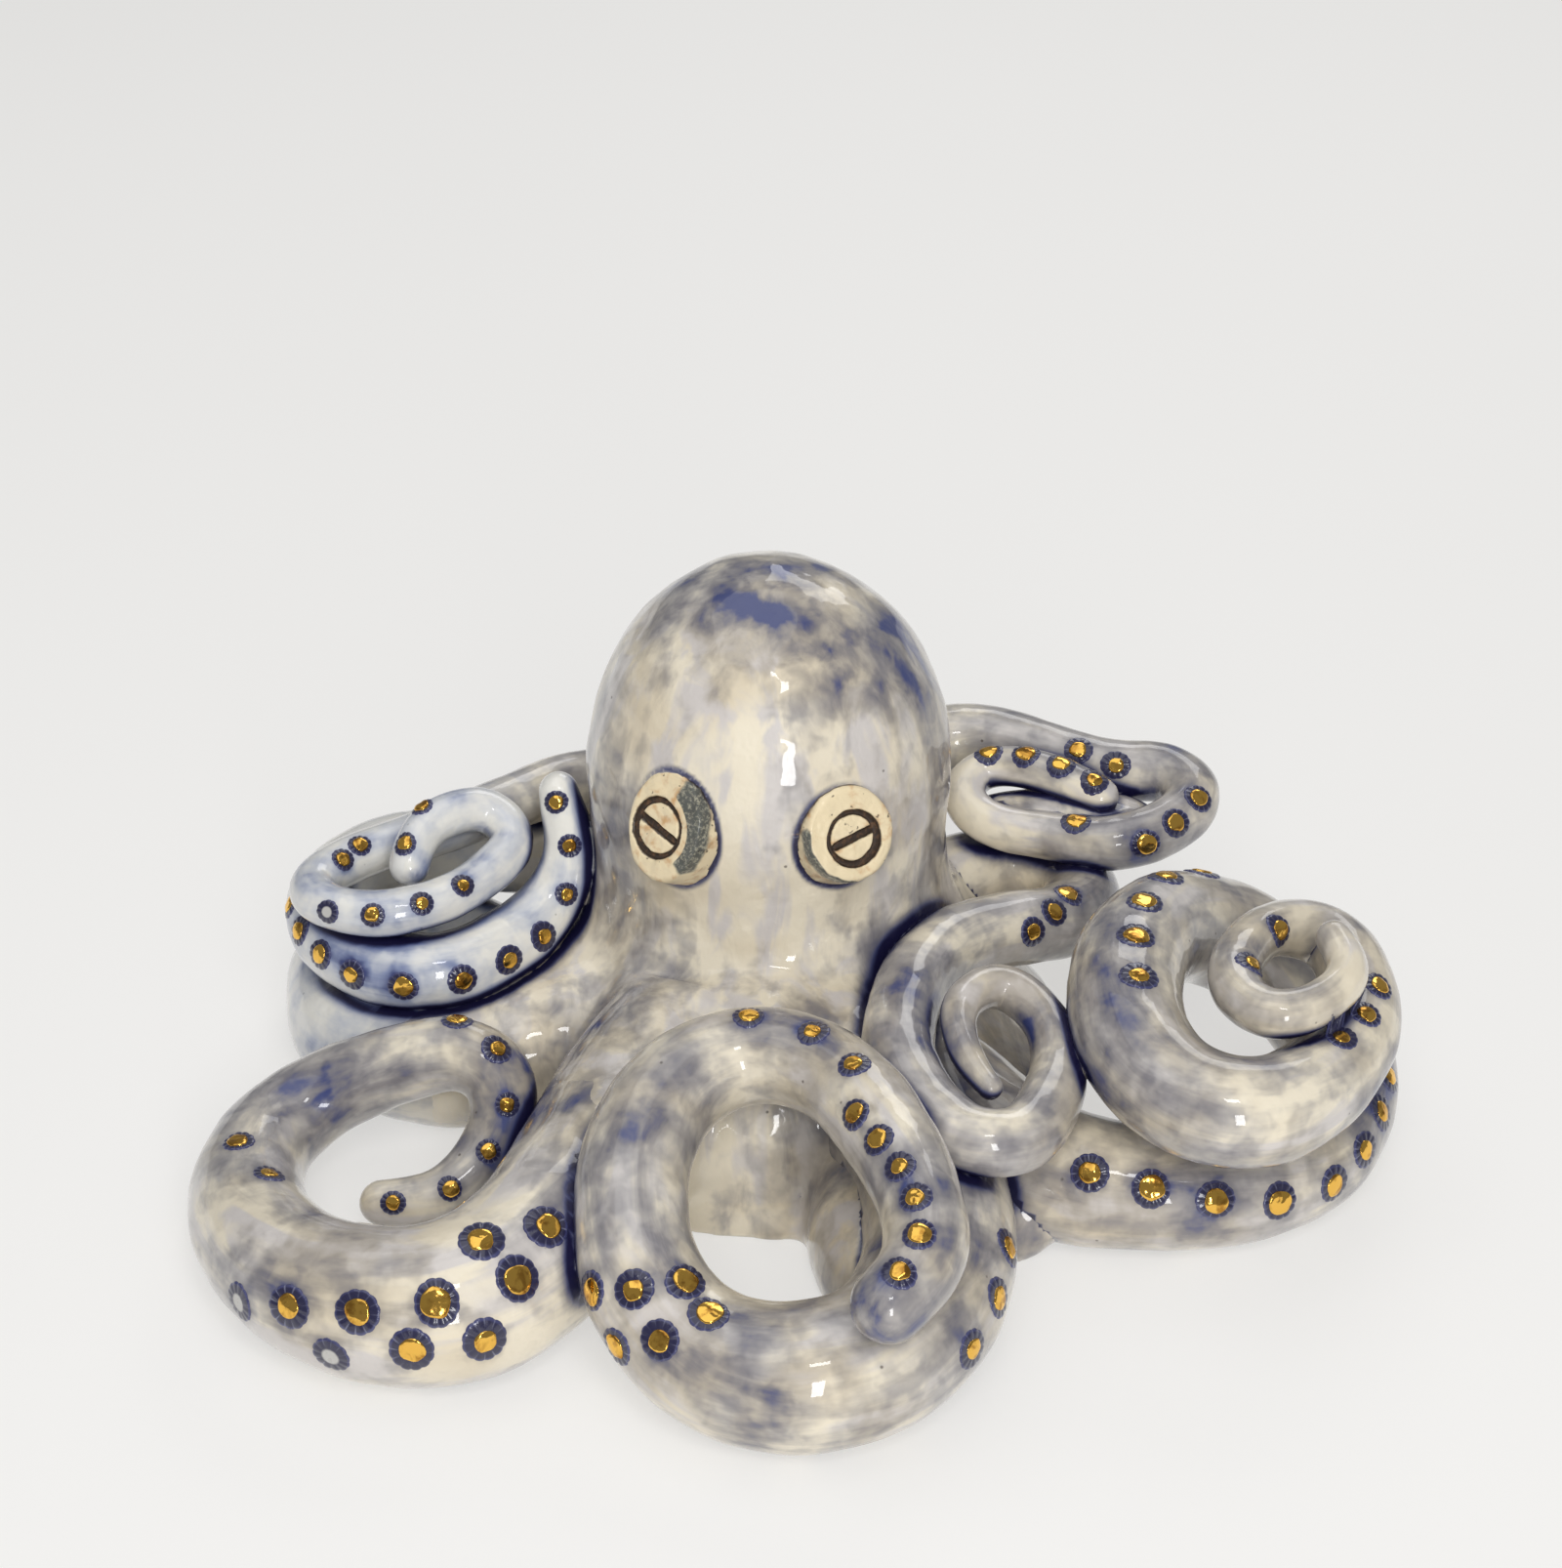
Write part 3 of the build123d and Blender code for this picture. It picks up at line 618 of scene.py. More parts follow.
class Coil:
    """One rolled arm: its centre line, its skin and the seats of its suckers."""

    sides = 44
    step = 1.25 * MM
    tip_angles = (12, 24, 36, 47, 57, 66, 74, 81, 86)
    stroke_stretch = 0.3
    pale_run = 24.0
    trial_points = 1500

    def __init__(self, plan: ArmPlan, seed: float) -> None:
        """Lay out the arm's stations.

        Args:
            plan: The arm's sizes and route.
            seed: Sets the arm's own lumps and brush strokes.
        """
        self.plan = plan
        self.seed = seed
        half = plan.thickness / 2
        rows = [
            (
                plan.reach * side,
                plan.reach * depth,
                plan.thickness * lift + half * girth - FOOT_FLAT,
                half * girth,
            )
            for side, depth, lift, girth in plan.shares
        ]
        self.line = SmoothLine(np.array(rows) * MM)
        trial_shares = np.linspace(0, 1, self.trial_points)
        trial = self.line.at(trial_shares)
        lengths = np.concatenate([[0], np.cumsum(np.linalg.norm(np.diff(trial[:, :3], axis=0), axis=1))])
        count = int(lengths[-1] / self.step)
        shares = np.interp(np.linspace(0, lengths[-1], count), lengths, trial_shares)
        self.stations = self.line.at(shares)
        self.lengths = np.linspace(0, lengths[-1], count)
        self.along = self.tangents(shares)
        self.side = self.carried_sides()
        self.up = np.cross(self.along, self.side)
        self.skin: bpy.types.Object | None = None
        self.tree: BVHTree | None = None

    def tangents(self, shares: np.ndarray) -> np.ndarray:
        """Unit directions of the centre line at shares of it."""
        reach = 1e-4
        steps = self.line.at(shares + reach)[:, :3] - self.line.at(shares - reach)[:, :3]
        return steps / np.linalg.norm(steps, axis=1)[:, None]

    def carried_sides(self) -> np.ndarray:
        """Sideways directions carried along the line without twist."""
        side = np.cross(self.along[0], (0.0, 0.0, 1.0))
        sides = []
        for along in self.along:
            side = side - along * side.dot(along)
            side = side / np.linalg.norm(side)
            sides.append(side)
        return np.array(sides)

    def ring(self, index: int) -> tuple[np.ndarray, float, int]:
        """Centre, radius and station of a ring, with the rounded tip's rings after the last station."""
        last = len(self.stations) - 1
        if index <= last:
            return self.stations[index, :3], self.stations[index, 3], index
        angle = math.radians(self.tip_angles[index - last - 1])
        radius = self.stations[last, 3]
        centre = self.stations[last, :3] + self.along[last] * radius * math.sin(angle)
        return centre, radius * math.cos(angle), last

    def bend(
        self, form: bmesh.types.BMesh, swell: tuple[float, float], rings: int
    ) -> list[tuple[float, float, float]]:
        """Move a straight tube's rings on to the route.

        Args:
            form: The straight tube.
            swell: Girth at the first and last ring, as a share of the arm's own.
            rings: Rings on the tube.

        Returns:
            Brush places of the tube's points, which follow the arm as strokes do.
        """
        brush = []
        for vert in form.verts:
            index = int(round(vert.co.z))
            centre, radius, station = self.ring(index)
            blend = index / (rings - 1)
            radius = radius * (swell[0] + (swell[1] - swell[0]) * blend)
            outward = vert.co.x * self.side[station] + vert.co.y * self.up[station]
            smooth = Vector(centre + outward * radius)
            lump = clay_lumps(smooth, self.seed) * min(1.0, radius / (9 * MM) + 0.25)
            stroke = self.lengths[station] * self.stroke_stretch + self.seed
            brush.append((vert.co.x * radius, vert.co.y * radius, stroke))
            vert.co = smooth + Vector(outward) * lump
            vert.co.z = max(vert.co.z, 0.0)
        return brush

    def build(self) -> bpy.types.Object:
        """Make the arm's skin.

        Returns:
            The skin, with its brush places stored on it.
        """
        rings = len(self.stations) + len(self.tip_angles)
        form = straight_tube(self.sides, rings)
        brush = self.bend(form, (1.0, 1.0), rings)
        face_outward(form)
        self.tree = BVHTree.FromBMesh(form)
        if self.plan.filling:
            for vert in self.plan.filling.add_to(form):
                vert.co += vert.normal * clay_lumps(vert.co, self.seed)
                brush.append(tuple(vert.co))
        self.skin = make_piece(form, f"{self.plan.name}_coil", (self.plan.name,))
        strokes = np.array(brush)
        lengths = (strokes[:, 2] - self.seed) / self.stroke_stretch / MM
        give_attribute(self.skin, "brush", strokes)
        give_attribute(self.skin, "pale", np.clip((lengths - self.plan.pale_from) / self.pale_run, 0, 1))
        return self.skin

    def add_web(self, body: bmesh.types.BMesh) -> None:
        """Join the arm's root to the body's form, thinning until it hides inside the arm.

        Args:
            body: The body's form, which gains the root.
        """
        rings = int(self.plan.web_length * MM / self.step)
        root = straight_tube(self.sides, rings)
        self.bend(root, self.plan.web_swell, rings)
        bmesh.ops.recalc_face_normals(root, faces=root.faces[:])
        join(body, root)

    def seat(self, share: float, facing: Vector) -> Matrix:
        """Where a sucker sits: its middle on the skin, looking outwards.

        Args:
            share: Place along the arm's curve.
            facing: Rough direction that the sucker looks in.

        Returns:
            A frame with X along the arm and Z outwards.
        """
        place = self.line.at(np.array([share]))[0]
        along = Vector(self.tangents(np.array([min(share, 0.9999)]))[0])
        outward = (facing - along * facing.dot(along)).normalized()
        centre = Vector(place[:3])
        hit = self.tree.ray_cast(centre + outward * place[3] * 2, -outward)[0]
        origin = hit if hit else centre + outward * place[3]
        across = outward.cross(along)
        turn = Matrix((along, across, outward)).transposed().to_4x4()
        return Matrix.Translation(origin) @ turn

    def drop(self, seat: Matrix, across: float, aside: float, rise: float) -> Vector:
        """A place above the skin near a seat.

        Args:
            seat: The sucker's frame.
            across: Distance along the arm from the seat's middle.
            aside: Distance round the arm from the seat's middle.
            rise: Height above the skin.

        Returns:
            The place.
        """
        outward = seat.col[2].to_3d()
        above = seat @ Vector((across, aside, 6 * MM))
        hit, normal, *_ = self.tree.ray_cast(above, -outward, 14 * MM)
        if hit is None:
            hit, normal, *_ = self.tree.find_nearest(seat @ Vector((across, aside, 0)))
        return hit + (outward * 2 + normal).normalized() * rise


class Suckers:
    """The stamped rosettes and gold drops of one arm."""

    petals = 12
    corners_each = 4
    ring_shares = (0.965, 0.90, 0.80, 0.68, 0.56, 0.47, 0.36)
    rise = 0.42 * MM
    bleed_reach = 0.62
    bleed_depth = 0.30

    def __init__(self, coil: Coil) -> None:
        """Place every sucker of an arm's plan."""
        self.coil = coil
        self.random = random.Random(coil.plan.name)
        self.seats: list[tuple[Matrix, float, bool]] = []
        for row in coil.plan.suckers:
            first, last = Vector(row.first_facing), Vector(row.last_facing)
            for index in range(row.count):
                blend = index / max(row.count - 1, 1)
                share = row.first_share + (row.last_share - row.first_share) * blend
                seat = coil.seat(share, first.lerp(last, blend))
                self.seats.append((seat, row.diameter.value * MM, row.gilded))

    def bleed(self, places: np.ndarray) -> np.ndarray:
        """How much of the suckers' cobalt has run into the glaze round them.

        Args:
            places: Points of the arm's skin, one row each.

        Returns:
            A depth of wash for each point.
        """
        depth = np.zeros(len(places))
        for seat, diameter, _ in self.seats:
            reach = self.bleed_reach * diameter
            away = np.linalg.norm(places - np.array(seat.translation), axis=1) / reach
            depth += self.bleed_depth * np.exp(-(away**4))
        return depth

    def stamp(self) -> bmesh.types.BMesh:
        """A flat closed disc of radius 1 with the stamp's rings, its top at height 0."""
        form = bmesh.new()
        corners = self.petals * self.corners_each
        bmesh.ops.create_cone(
            form, cap_ends=True, cap_tris=False, segments=corners, radius1=1.0, radius2=1.0, depth=1.0
        )
        bmesh.ops.translate(form, vec=(0, 0, -0.5), verts=form.verts[:])
        top = [face for face in form.faces if face.normal.z > 0.9]
        outer = 1.0
        shape = math.cos(math.pi / corners)
        for share in self.ring_shares:
            bmesh.ops.inset_region(form, faces=top, thickness=(outer - share) * shape, use_even_offset=True)
            outer = share
        bmesh.ops.poke(form, faces=top)
        return form

    def relief(self, out: float, petal: float) -> float:
        """Height of a rosette.

        Args:
            out: Distance from its middle, as a share of its radius.
            petal: 0 in the line between two petals and 1 on a petal's back.

        Returns:
            The height as a share of the rosette's rise.
        """
        hump = math.sin(math.pi * min(max((out - 0.22) / 0.80, 0.0), 1.0)) ** 0.55
        groove = 0.38 * (1 - petal) ** 2 * min(1.0, max(0.0, (out - 0.4) / 0.2))
        return 0.55 + 0.45 * hump - groove if out < 0.98 else 0.05 * petal

    def build_rosettes(self) -> bpy.types.Object:
        """Press a rosette on every seat.

        Returns:
            One piece with all the arm's rosettes.
        """
        joined = bmesh.new()
        petal_values: list[float] = []
        out_values: list[float] = []
        bare_values: list[float] = []
        for seat, diameter, gilded in self.seats:
            form = self.stamp()
            turn = self.random.uniform(0, math.tau)
            stretch = self.random.uniform(0.94, 1.06)
            for vert in form.verts:
                out = math.hypot(vert.co.x, vert.co.y)
                angle = math.atan2(vert.co.y, vert.co.x)
                petal = abs(math.sin(angle * self.petals / 2)) ** 0.8
                scallop = 1 + 0.05 * (petal - 1) * out**4
                radius = diameter / 2 * out * scallop * 1.04
                across = math.cos(angle + turn) * radius * stretch
                aside = math.sin(angle + turn) * radius / stretch
                rise = self.rise * self.relief(out, petal) if vert.co.z > -0.5 else -1.2 * MM
                petal_values.append(petal)
                out_values.append(out)
                bare_values.append(0.0 if gilded else 1.0)
                vert.co = self.coil.drop(seat, across, aside, rise)
            join(joined, form)
        bmesh.ops.recalc_face_normals(joined, faces=joined.faces[:])
        name = self.coil.plan.name
        piece = make_piece(joined, f"{name}_rosettes", (f"{name}_suckers",))
        give_attribute(piece, "petal", np.array(petal_values))
        give_attribute(piece, "out", np.array(out_values))
        give_attribute(piece, "bare", np.array(bare_values))
        return piece

    def build_drops(self) -> bpy.types.Object:
        """Set an uneven drop of gold on every gilded seat.

        Returns:
            One piece with all the arm's gold.
        """
        joined = bmesh.new()
        for seat, diameter, gilded in self.seats:
            if not gilded:
                continue
            radius = diameter / 2 * self.random.uniform(0.52, 0.70)
            height = self.random.uniform(0.42, 0.62) * MM
            shift = Vector((self.random.uniform(-0.1, 0.1), self.random.uniform(-0.1, 0.1), 0)) * radius
            seed = self.random.uniform(0, 90)
            made = bmesh.ops.create_uvsphere(joined, u_segments=22, v_segments=12, radius=1.0)["verts"]
            for vert in made:
                angle = math.atan2(vert.co.y, vert.co.x)
                ragged = noise.noise(Vector((math.cos(angle) * 1.3, math.sin(angle) * 1.3, seed)))
                dimple = noise.noise(Vector((vert.co.x * 1.6, vert.co.y * 1.6, seed + 7)))
                flat = Vector((vert.co.x, vert.co.y, 0)) * radius * (1 + 0.16 * ragged)
                dome = math.copysign(abs(vert.co.z) ** 0.5, vert.co.z) * (1 + 0.30 * dimple)
                rise = 0.30 * MM + height * dome
                vert.co = self.coil.drop(seat, shift.x + flat.x, shift.y + flat.y, rise)
        name = self.coil.plan.name
        return make_piece(joined, f"{name}_lustre", (f"{name}_gold",))


@dataclass
class Body:
    """The head and spreading skirt, with the arms' roots webbed into it. Sizes are millimetres."""

    foot_diameter: float = 152.0
    neck_diameter: float = 85.2
    neck_height: float = 60.0
    head_diameter: float = 87.0
    head_widest_height: float = 74.0
    head_dome_height: float = 53.0
    lean: float = 12.0
    voxel: float = 1.1
    softening: int = 48
    swells: tuple[Swell, ...] = (
        Swell((-2.0, -30.0, 16.0), (34.0, 41.0, 30.0)),
        Swell((22.0, -80.0, 6.0), (14.0, 27.0, 17.0)),
        Swell((49.0, -69.0, 5.0), (13.0, 17.0, 14.0)),
        Swell((58.0, -77.0, 7.0), (7.5, 7.5, 9.0)),
    )
    seed: float = 3.7
    turns: int = 90
    profile_points: int = 70

    skirt_shares = (
        (0.00, 1.00, 0.00),
        (0.13, 0.79, 0.05),
        (0.30, 0.52, 0.21),
        (0.47, 0.30, 0.46),
        (0.63, 0.12, 0.75),
        (0.80, 0.02, 0.92),
        (1.00, 0.00, 1.00),
    )

    def rings(self) -> list[tuple[float, float, float]]:
        """Height, radius and lean of the body's rings, from the foot to the crown."""
        flare = (self.foot_diameter - self.neck_diameter) / 2
        rings = [
            (self.neck_height * height, self.neck_diameter / 2 + flare * wide, self.lean * lean)
            for height, wide, lean in self.skirt_shares
        ]
        for angle in (0, 10, 20, 30, 40, 50, 60, 70, 80, 90):
            height = self.head_widest_height + self.head_dome_height * math.sin(math.radians(angle))
            rings.append((height, self.head_diameter / 2 * math.cos(math.radians(angle)), self.lean))
        return rings

    def turned_form(self) -> bmesh.types.BMesh:
        """The body without arms, turned from its profile and leaned back."""
        rings = self.rings()
        knots = np.array([(radius, lean, height, 0.0) for height, radius, lean in rings])
        smooth = SmoothLine(knots * MM).at(np.linspace(0, 1, self.profile_points))
        form = bmesh.new()
        profile = [form.verts.new((0, 0, 0))]
        profile += [form.verts.new((max(radius, 0.0), 0, height)) for radius, _, height, _ in smooth]
        for low, high in zip(profile, profile[1:]):
            form.edges.new((low, high))
        turn_round(form, self.turns, 0.02 * MM)
        for vert in form.verts:
            vert.co.y += np.interp(vert.co.z, smooth[:, 2], smooth[:, 1])
        return form

    def build(self, coils: list[Coil]) -> bpy.types.Object:
        """Join the body and the arms' roots into one soft skin.

        Args:
            coils: The arms, whose roots are webbed in.

        Returns:
            The skin.
        """
        form = self.turned_form()
        for swell in self.swells:
            swell.add_to(form)
        for coil in coils:
            coil.add_web(form)
        draft = bpy.data.objects.new("draft", bpy.data.meshes.new("draft"))
        form.to_mesh(draft.data)
        form.free()
        bpy.context.scene.collection.objects.link(draft)
        union = draft.modifiers.new("union", "REMESH")
        union.mode = "VOXEL"
        union.voxel_size = self.voxel * MM
        graph = bpy.context.evaluated_depsgraph_get()
        mesh = bpy.data.meshes.new_from_object(draft.evaluated_get(graph))
        bpy.data.objects.remove(draft)
        form = bmesh.new()
        form.from_mesh(mesh)
        bpy.data.meshes.remove(mesh)
        drop_specks(form)
        for _ in range(self.softening):
            bmesh.ops.smooth_vert(
                form, verts=form.verts[:], factor=0.5, use_axis_x=True, use_axis_y=True, use_axis_z=True
            )
        form.normal_update()
        heights = [clay_lumps(vert.co, self.seed) * 1.15 for vert in form.verts]
        for vert, height in zip(form.verts, heights):
            vert.co = vert.co + vert.normal * height
            vert.co.z = max(vert.co.z, 0.0)
        piece = make_piece(form, "body_skin", ("mantle",))
        places = points_of(piece)
        give_attribute(piece, "brush", places * np.array((1.0, 1.0, 0.3)))
        give_attribute(piece, "pale", np.zeros(len(places)))
        return piece


@dataclass
class Eye:
    """A raised eye: an oval cone of clay with a ring and a slit cut in its top. Sizes are millimetres."""

    side: str
    body: Body
    azimuth: float
    height: float
    turn: float
    tilt: float
    base_diameter: float
    width_share: float
    rise: float
    ring_diameter: float
    ring_aside: float
    ring_lift: float
    slit_angle: float
    stain_turn: float
    stain_inside: float
    heavy_turn: float
    stain_span: float = 62.0
    stain_margin: float = 1.4
    taper: float = 9.0
    shoulder: float = 1.2
    bed: float = 7.0
    groove_width: float = 1.5
    groove_depth: float = 1.0
    slit_share: float = 1.06
    slit_width: float = 2.0
    # Width of the painted shade line round the eye's foot
    foot_shade_line_width: float = 1.3
    turns: int = 128
    ring_turns: int = 84
    wall_rings: int = 9

    def slit_length(self) -> float:
        """Length of the slit, which just runs into the ring."""
        return (self.ring_diameter - 2 * self.groove_width) * self.slit_share

    def place(self) -> Matrix:
        """The eye's frame on the head, with Z outwards, scaled from millimetres."""
        up_share = (self.height - self.body.head_widest_height) / self.body.head_dome_height
        reach = self.body.head_diameter / 2 * math.sqrt(1 - up_share**2)
        seat = math.radians(self.azimuth)
        origin = Vector((reach * math.sin(seat), self.body.lean - reach * math.cos(seat), self.height))
        turn, tilt = math.radians(self.turn), math.radians(self.tilt)
        aside = Vector((math.cos(turn), math.sin(turn), 0))
        front = Vector((math.sin(turn), -math.cos(turn), 0))
        outward = front * math.cos(tilt) + Vector((0, 0, math.sin(tilt)))
        axes = Matrix((aside, outward.cross(aside), outward)).transposed().to_4x4()
        return Matrix.Scale(MM, 4) @ Matrix.Translation(origin) @ axes

    def top_radius(self) -> float:
        """Radius of the cone at its top."""
        return self.base_diameter / 2 - self.rise * math.tan(math.radians(self.taper))

    def weight(self, place: Vector) -> float:
        """Width of the ring's line at a place round it, as a share of its middle width."""
        return 1 + 0.38 * math.cos(math.atan2(place.y, place.x) - math.radians(self.heavy_turn))

    def foot_shade_line(self, places: np.ndarray) -> np.ndarray:
        """How near places on the head are to the line where the cone stands on it, painted as a thin dark
        shade line round the eye's foot that is heaviest on its stained side.

        Args:
            places: Points of the head's skin, one row each.

        Returns:
            A value for each point, where 1 is on the line.
        """
        back = np.array(self.place().inverted())
        local = places @ back[:3, :3].T + back[:3, 3]
        wall = self.base_diameter / 2 - local[:, 2] * math.tan(math.radians(self.taper))
        away = np.hypot(local[:, 0] / self.width_share, local[:, 1]) - wall
        bearing = np.arctan2(local[:, 1], local[:, 0]) - math.radians(self.stain_turn)
        strength = 0.67 + 0.33 * np.cos(bearing)
        level = np.abs(local[:, 2]) < self.bed + self.rise
        return strength * np.exp(-((away / self.foot_shade_line_width) ** 2)) * level

    def carving(self, place: Vector) -> float:
        """How deep the ring and slit are cut at a place on the top, from 0 to 1."""
        place = place - Vector((self.ring_aside, self.ring_lift, 0))
        out = math.hypot(place.x, place.y)
        wobble = 0.22 * noise.noise(Vector((place.x * 0.5, place.y * 0.5, self.azimuth)))
        middle = self.ring_diameter / 2 - self.groove_width / 2
        ring = self.groove_width / 2 * self.weight(place) + wobble - abs(out - middle)
        turn = math.radians(self.slit_angle)
        along = place.x * math.cos(turn) + place.y * math.sin(turn)
        aside = -place.x * math.sin(turn) + place.y * math.cos(turn)
        beyond = max(abs(along) - (self.slit_length() - self.slit_width) / 2, 0.0)
        slit = self.slit_width / 2 + wobble * 0.6 - math.hypot(beyond, aside)
        return min(max(max(ring, slit) / 0.45 + 0.5, 0.0), 1.0)

    def staining(self, place: Vector) -> float:
        """How deep the stain lies at a place on the top or wall, from 0 to 1."""
        across, up = place.x - self.ring_aside, place.y - self.ring_lift
        turned = math.degrees(math.atan2(up, across)) - self.stain_turn
        turned = abs((turned + 180) % 360 - 180)
        out = math.hypot(place.x / self.width_share, place.y) / self.top_radius()
        aside = math.hypot(across, up) - self.ring_diameter / 2
        clear = min(max((aside - self.stain_margin) / 0.6, 0.0), 1.0)
        near = min(max((out - self.stain_inside) / 0.10, 0.0), 1.0)
        facing = min(max((self.stain_span - turned) / 14, 0.0), 1.0)
        wall = min(max((1.06 - out) / 0.06, 0.30), 1.0)
        return clear * near * facing * wall

    def profile(self) -> list[tuple[float, float]]:
        """Radius and height of the cone's outline, from the middle of its top to its bed."""
        top = self.top_radius()
        flat = top - self.shoulder
        count = int(flat / 0.26)
        points = [(flat * index / count, self.rise) for index in range(count + 1)]
        for angle in (22, 45, 68, 90):
            turn = math.radians(angle)
            drop = self.shoulder * (1 - math.cos(turn))
            points.append((flat + self.shoulder * math.sin(turn), self.rise - drop))
        foot = self.base_diameter / 2 + self.bed * math.tan(math.radians(self.taper))
        edge = self.rise - self.shoulder
        wall = edge + self.bed
        for index in range(1, self.wall_rings + 1):
            share = index / self.wall_rings
            points.append((top + (foot - top) * share, edge - wall * share))
        return points + [(0.0, -self.bed)]

    def build_boss(self) -> bpy.types.Object:
        """Turn the cone and cut its ring and slit.

        Returns:
            The boss, with the oxide and stain stored on it.
        """
        form = bmesh.new()
        profile = [form.verts.new((radius, 0, height)) for radius, height in self.profile()]
        for first, second in zip(profile, profile[1:]):
            form.edges.new((first, second))
        turn_round(form, self.turns, 0.001)
        place = self.place()
        oxide, stain = [], []
        for vert in form.verts:
            on_top = vert.co.z > self.rise - 0.01
            vert.co.x *= self.width_share
            flat = vert.co.to_2d()
            cut = self.carving(vert.co) if on_top else 0.0
            oxide.append(cut)
            stain.append(self.staining(vert.co))
            rough = noise.noise(vert.co * 0.28 + Vector((self.azimuth, 0, 0))) * 0.34
            rough += noise.noise(vert.co * 0.9) * 0.12
            outward = Vector((0, 0, 1)) if on_top else Vector((flat.x, flat.y, 0)).normalized()
            vert.co = place @ (vert.co + outward * rough - Vector((0, 0, self.groove_depth * cut)))
        piece = make_piece(form, f"{self.side}_eye_cone", (f"{self.side}_eye_boss",))
        give_attribute(piece, "oxide", np.array(oxide))
        give_attribute(piece, "stain", np.array(stain))
        return piece

    def build_ring(self) -> bpy.types.Object:
        """Fill the ring groove with a thread of oxide.

        Returns:
            The ring inlay.
        """
        form = bmesh.new()
        bmesh.ops.create_circle(form, segments=10, radius=self.groove_width / 2)
        middle = self.ring_diameter / 2 - self.groove_width / 2
        stand = Matrix.Translation((middle, 0, 0)) @ Matrix.Rotation(math.pi / 2, 4, "X")
        bmesh.ops.transform(form, matrix=stand, verts=form.verts[:])
        turn_round(form, self.ring_turns, 0.001)
        place = self.place() @ Matrix.Translation((self.ring_aside, self.ring_lift, 0))
        floor = self.rise - self.groove_depth
        for vert in form.verts:
            thick = 1 + 0.25 * noise.noise(Vector((vert.co.x * 0.5, vert.co.y * 0.5, self.azimuth)))
            heavy = self.weight(vert.co)
            flat = vert.co.to_2d()
            flat = flat.normalized() * (middle + (flat.length - middle) * heavy)
            vert.co = place @ Vector((flat.x, flat.y, floor + 0.12 + vert.co.z * 0.55 * thick))
        return make_piece(form, f"{self.side}_eye_ring_inlay", (f"{self.side}_eye_ring",))

    def build_slit(self) -> bpy.types.Object:
        """Fill the slit with a bead of oxide.

        Returns:
            The slit inlay.
        """
        form = bmesh.new()
        bmesh.ops.create_uvsphere(form, u_segments=32, v_segments=12, radius=1.0)
        middle = Matrix.Translation((self.ring_aside, self.ring_lift, 0))
        place = self.place() @ middle @ Matrix.Rotation(math.radians(self.slit_angle), 4, "Z")
        floor = self.rise - self.groove_depth
        for vert in form.verts:
            blunt = math.copysign(abs(vert.co.x) ** 0.7, vert.co.x)
            uneven = 1 + 0.15 * noise.noise(vert.co * 1.5 + Vector((self.azimuth, 0, 0)))
            length = blunt * self.slit_length() / 2
            width = vert.co.y * self.slit_width / 2 * uneven
            bead = (length, width, floor + 0.1 + vert.co.z * 0.45)
            vert.co = place @ Vector(bead)
        return make_piece(form, f"{self.side}_eye_slit_inlay", (f"{self.side}_eye_slit",))


class Crevices:
    """Measures how closed in each place of the skins is, which the glazes turn into painted shade in
    creases and gaps, along with the cobalt pooled there.
    """

    reach = 8.5 * MM
    lift = 0.4 * MM
    tilts = (28, 52)
    turns = 8
    # Strength of the painted shade line round each eye's foot on the body
    eye_shade_line = 0.42

    def __init__(self, skins: list[bpy.types.Object]) -> None:
        """Gather all skins into one search tree."""
        places: list[list[float]] = []
        faces: list[list[int]] = []
        for skin in skins:
            start = len(places)
            places.extend(points_of(skin).tolist())
            faces.extend([start + index for index in face.vertices] for face in skin.data.polygons)
        self.tree = BVHTree.FromPolygons(places, faces)

    def measure(self, skin: bpy.types.Object) -> np.ndarray:
        """How closed in each point of a skin is.

        Args:
            skin: One of the skins.

        Returns:
            A value for each point, where 0 is open.
        """
        normals = np.empty(len(skin.data.vertices) * 3, np.float32)
        skin.data.vertex_normals.foreach_get("vector", normals)
        normals = normals.reshape(-1, 3)
        pole = np.where(np.abs(normals[:, 2:3]) > 0.9, (1.0, 0.0, 0.0), (0.0, 0.0, 1.0))
        aside = np.cross(normals, pole)
        aside /= np.linalg.norm(aside, axis=1)[:, None] + 1e-9
        other = np.cross(normals, aside)
        starts = points_of(skin) + normals * self.lift
        total = np.zeros(len(starts))
        cast = self.tree.ray_cast
        for tilt in self.tilts:
            rise, out = math.sin(math.radians(tilt)), math.cos(math.radians(tilt))
            for turn in range(self.turns):
                angle = math.tau * (turn + 0.5 * (tilt == self.tilts[1])) / self.turns
                ways = normals * rise + (aside * math.cos(angle) + other * math.sin(angle)) * out
                pairs = zip(starts.tolist(), ways.tolist())
                found = [cast(start, way, self.reach)[3] for start, way in pairs]
                total += [0.0 if away is None else 1 - away / self.reach for away in found]
        return total / (len(self.tilts) * self.turns)


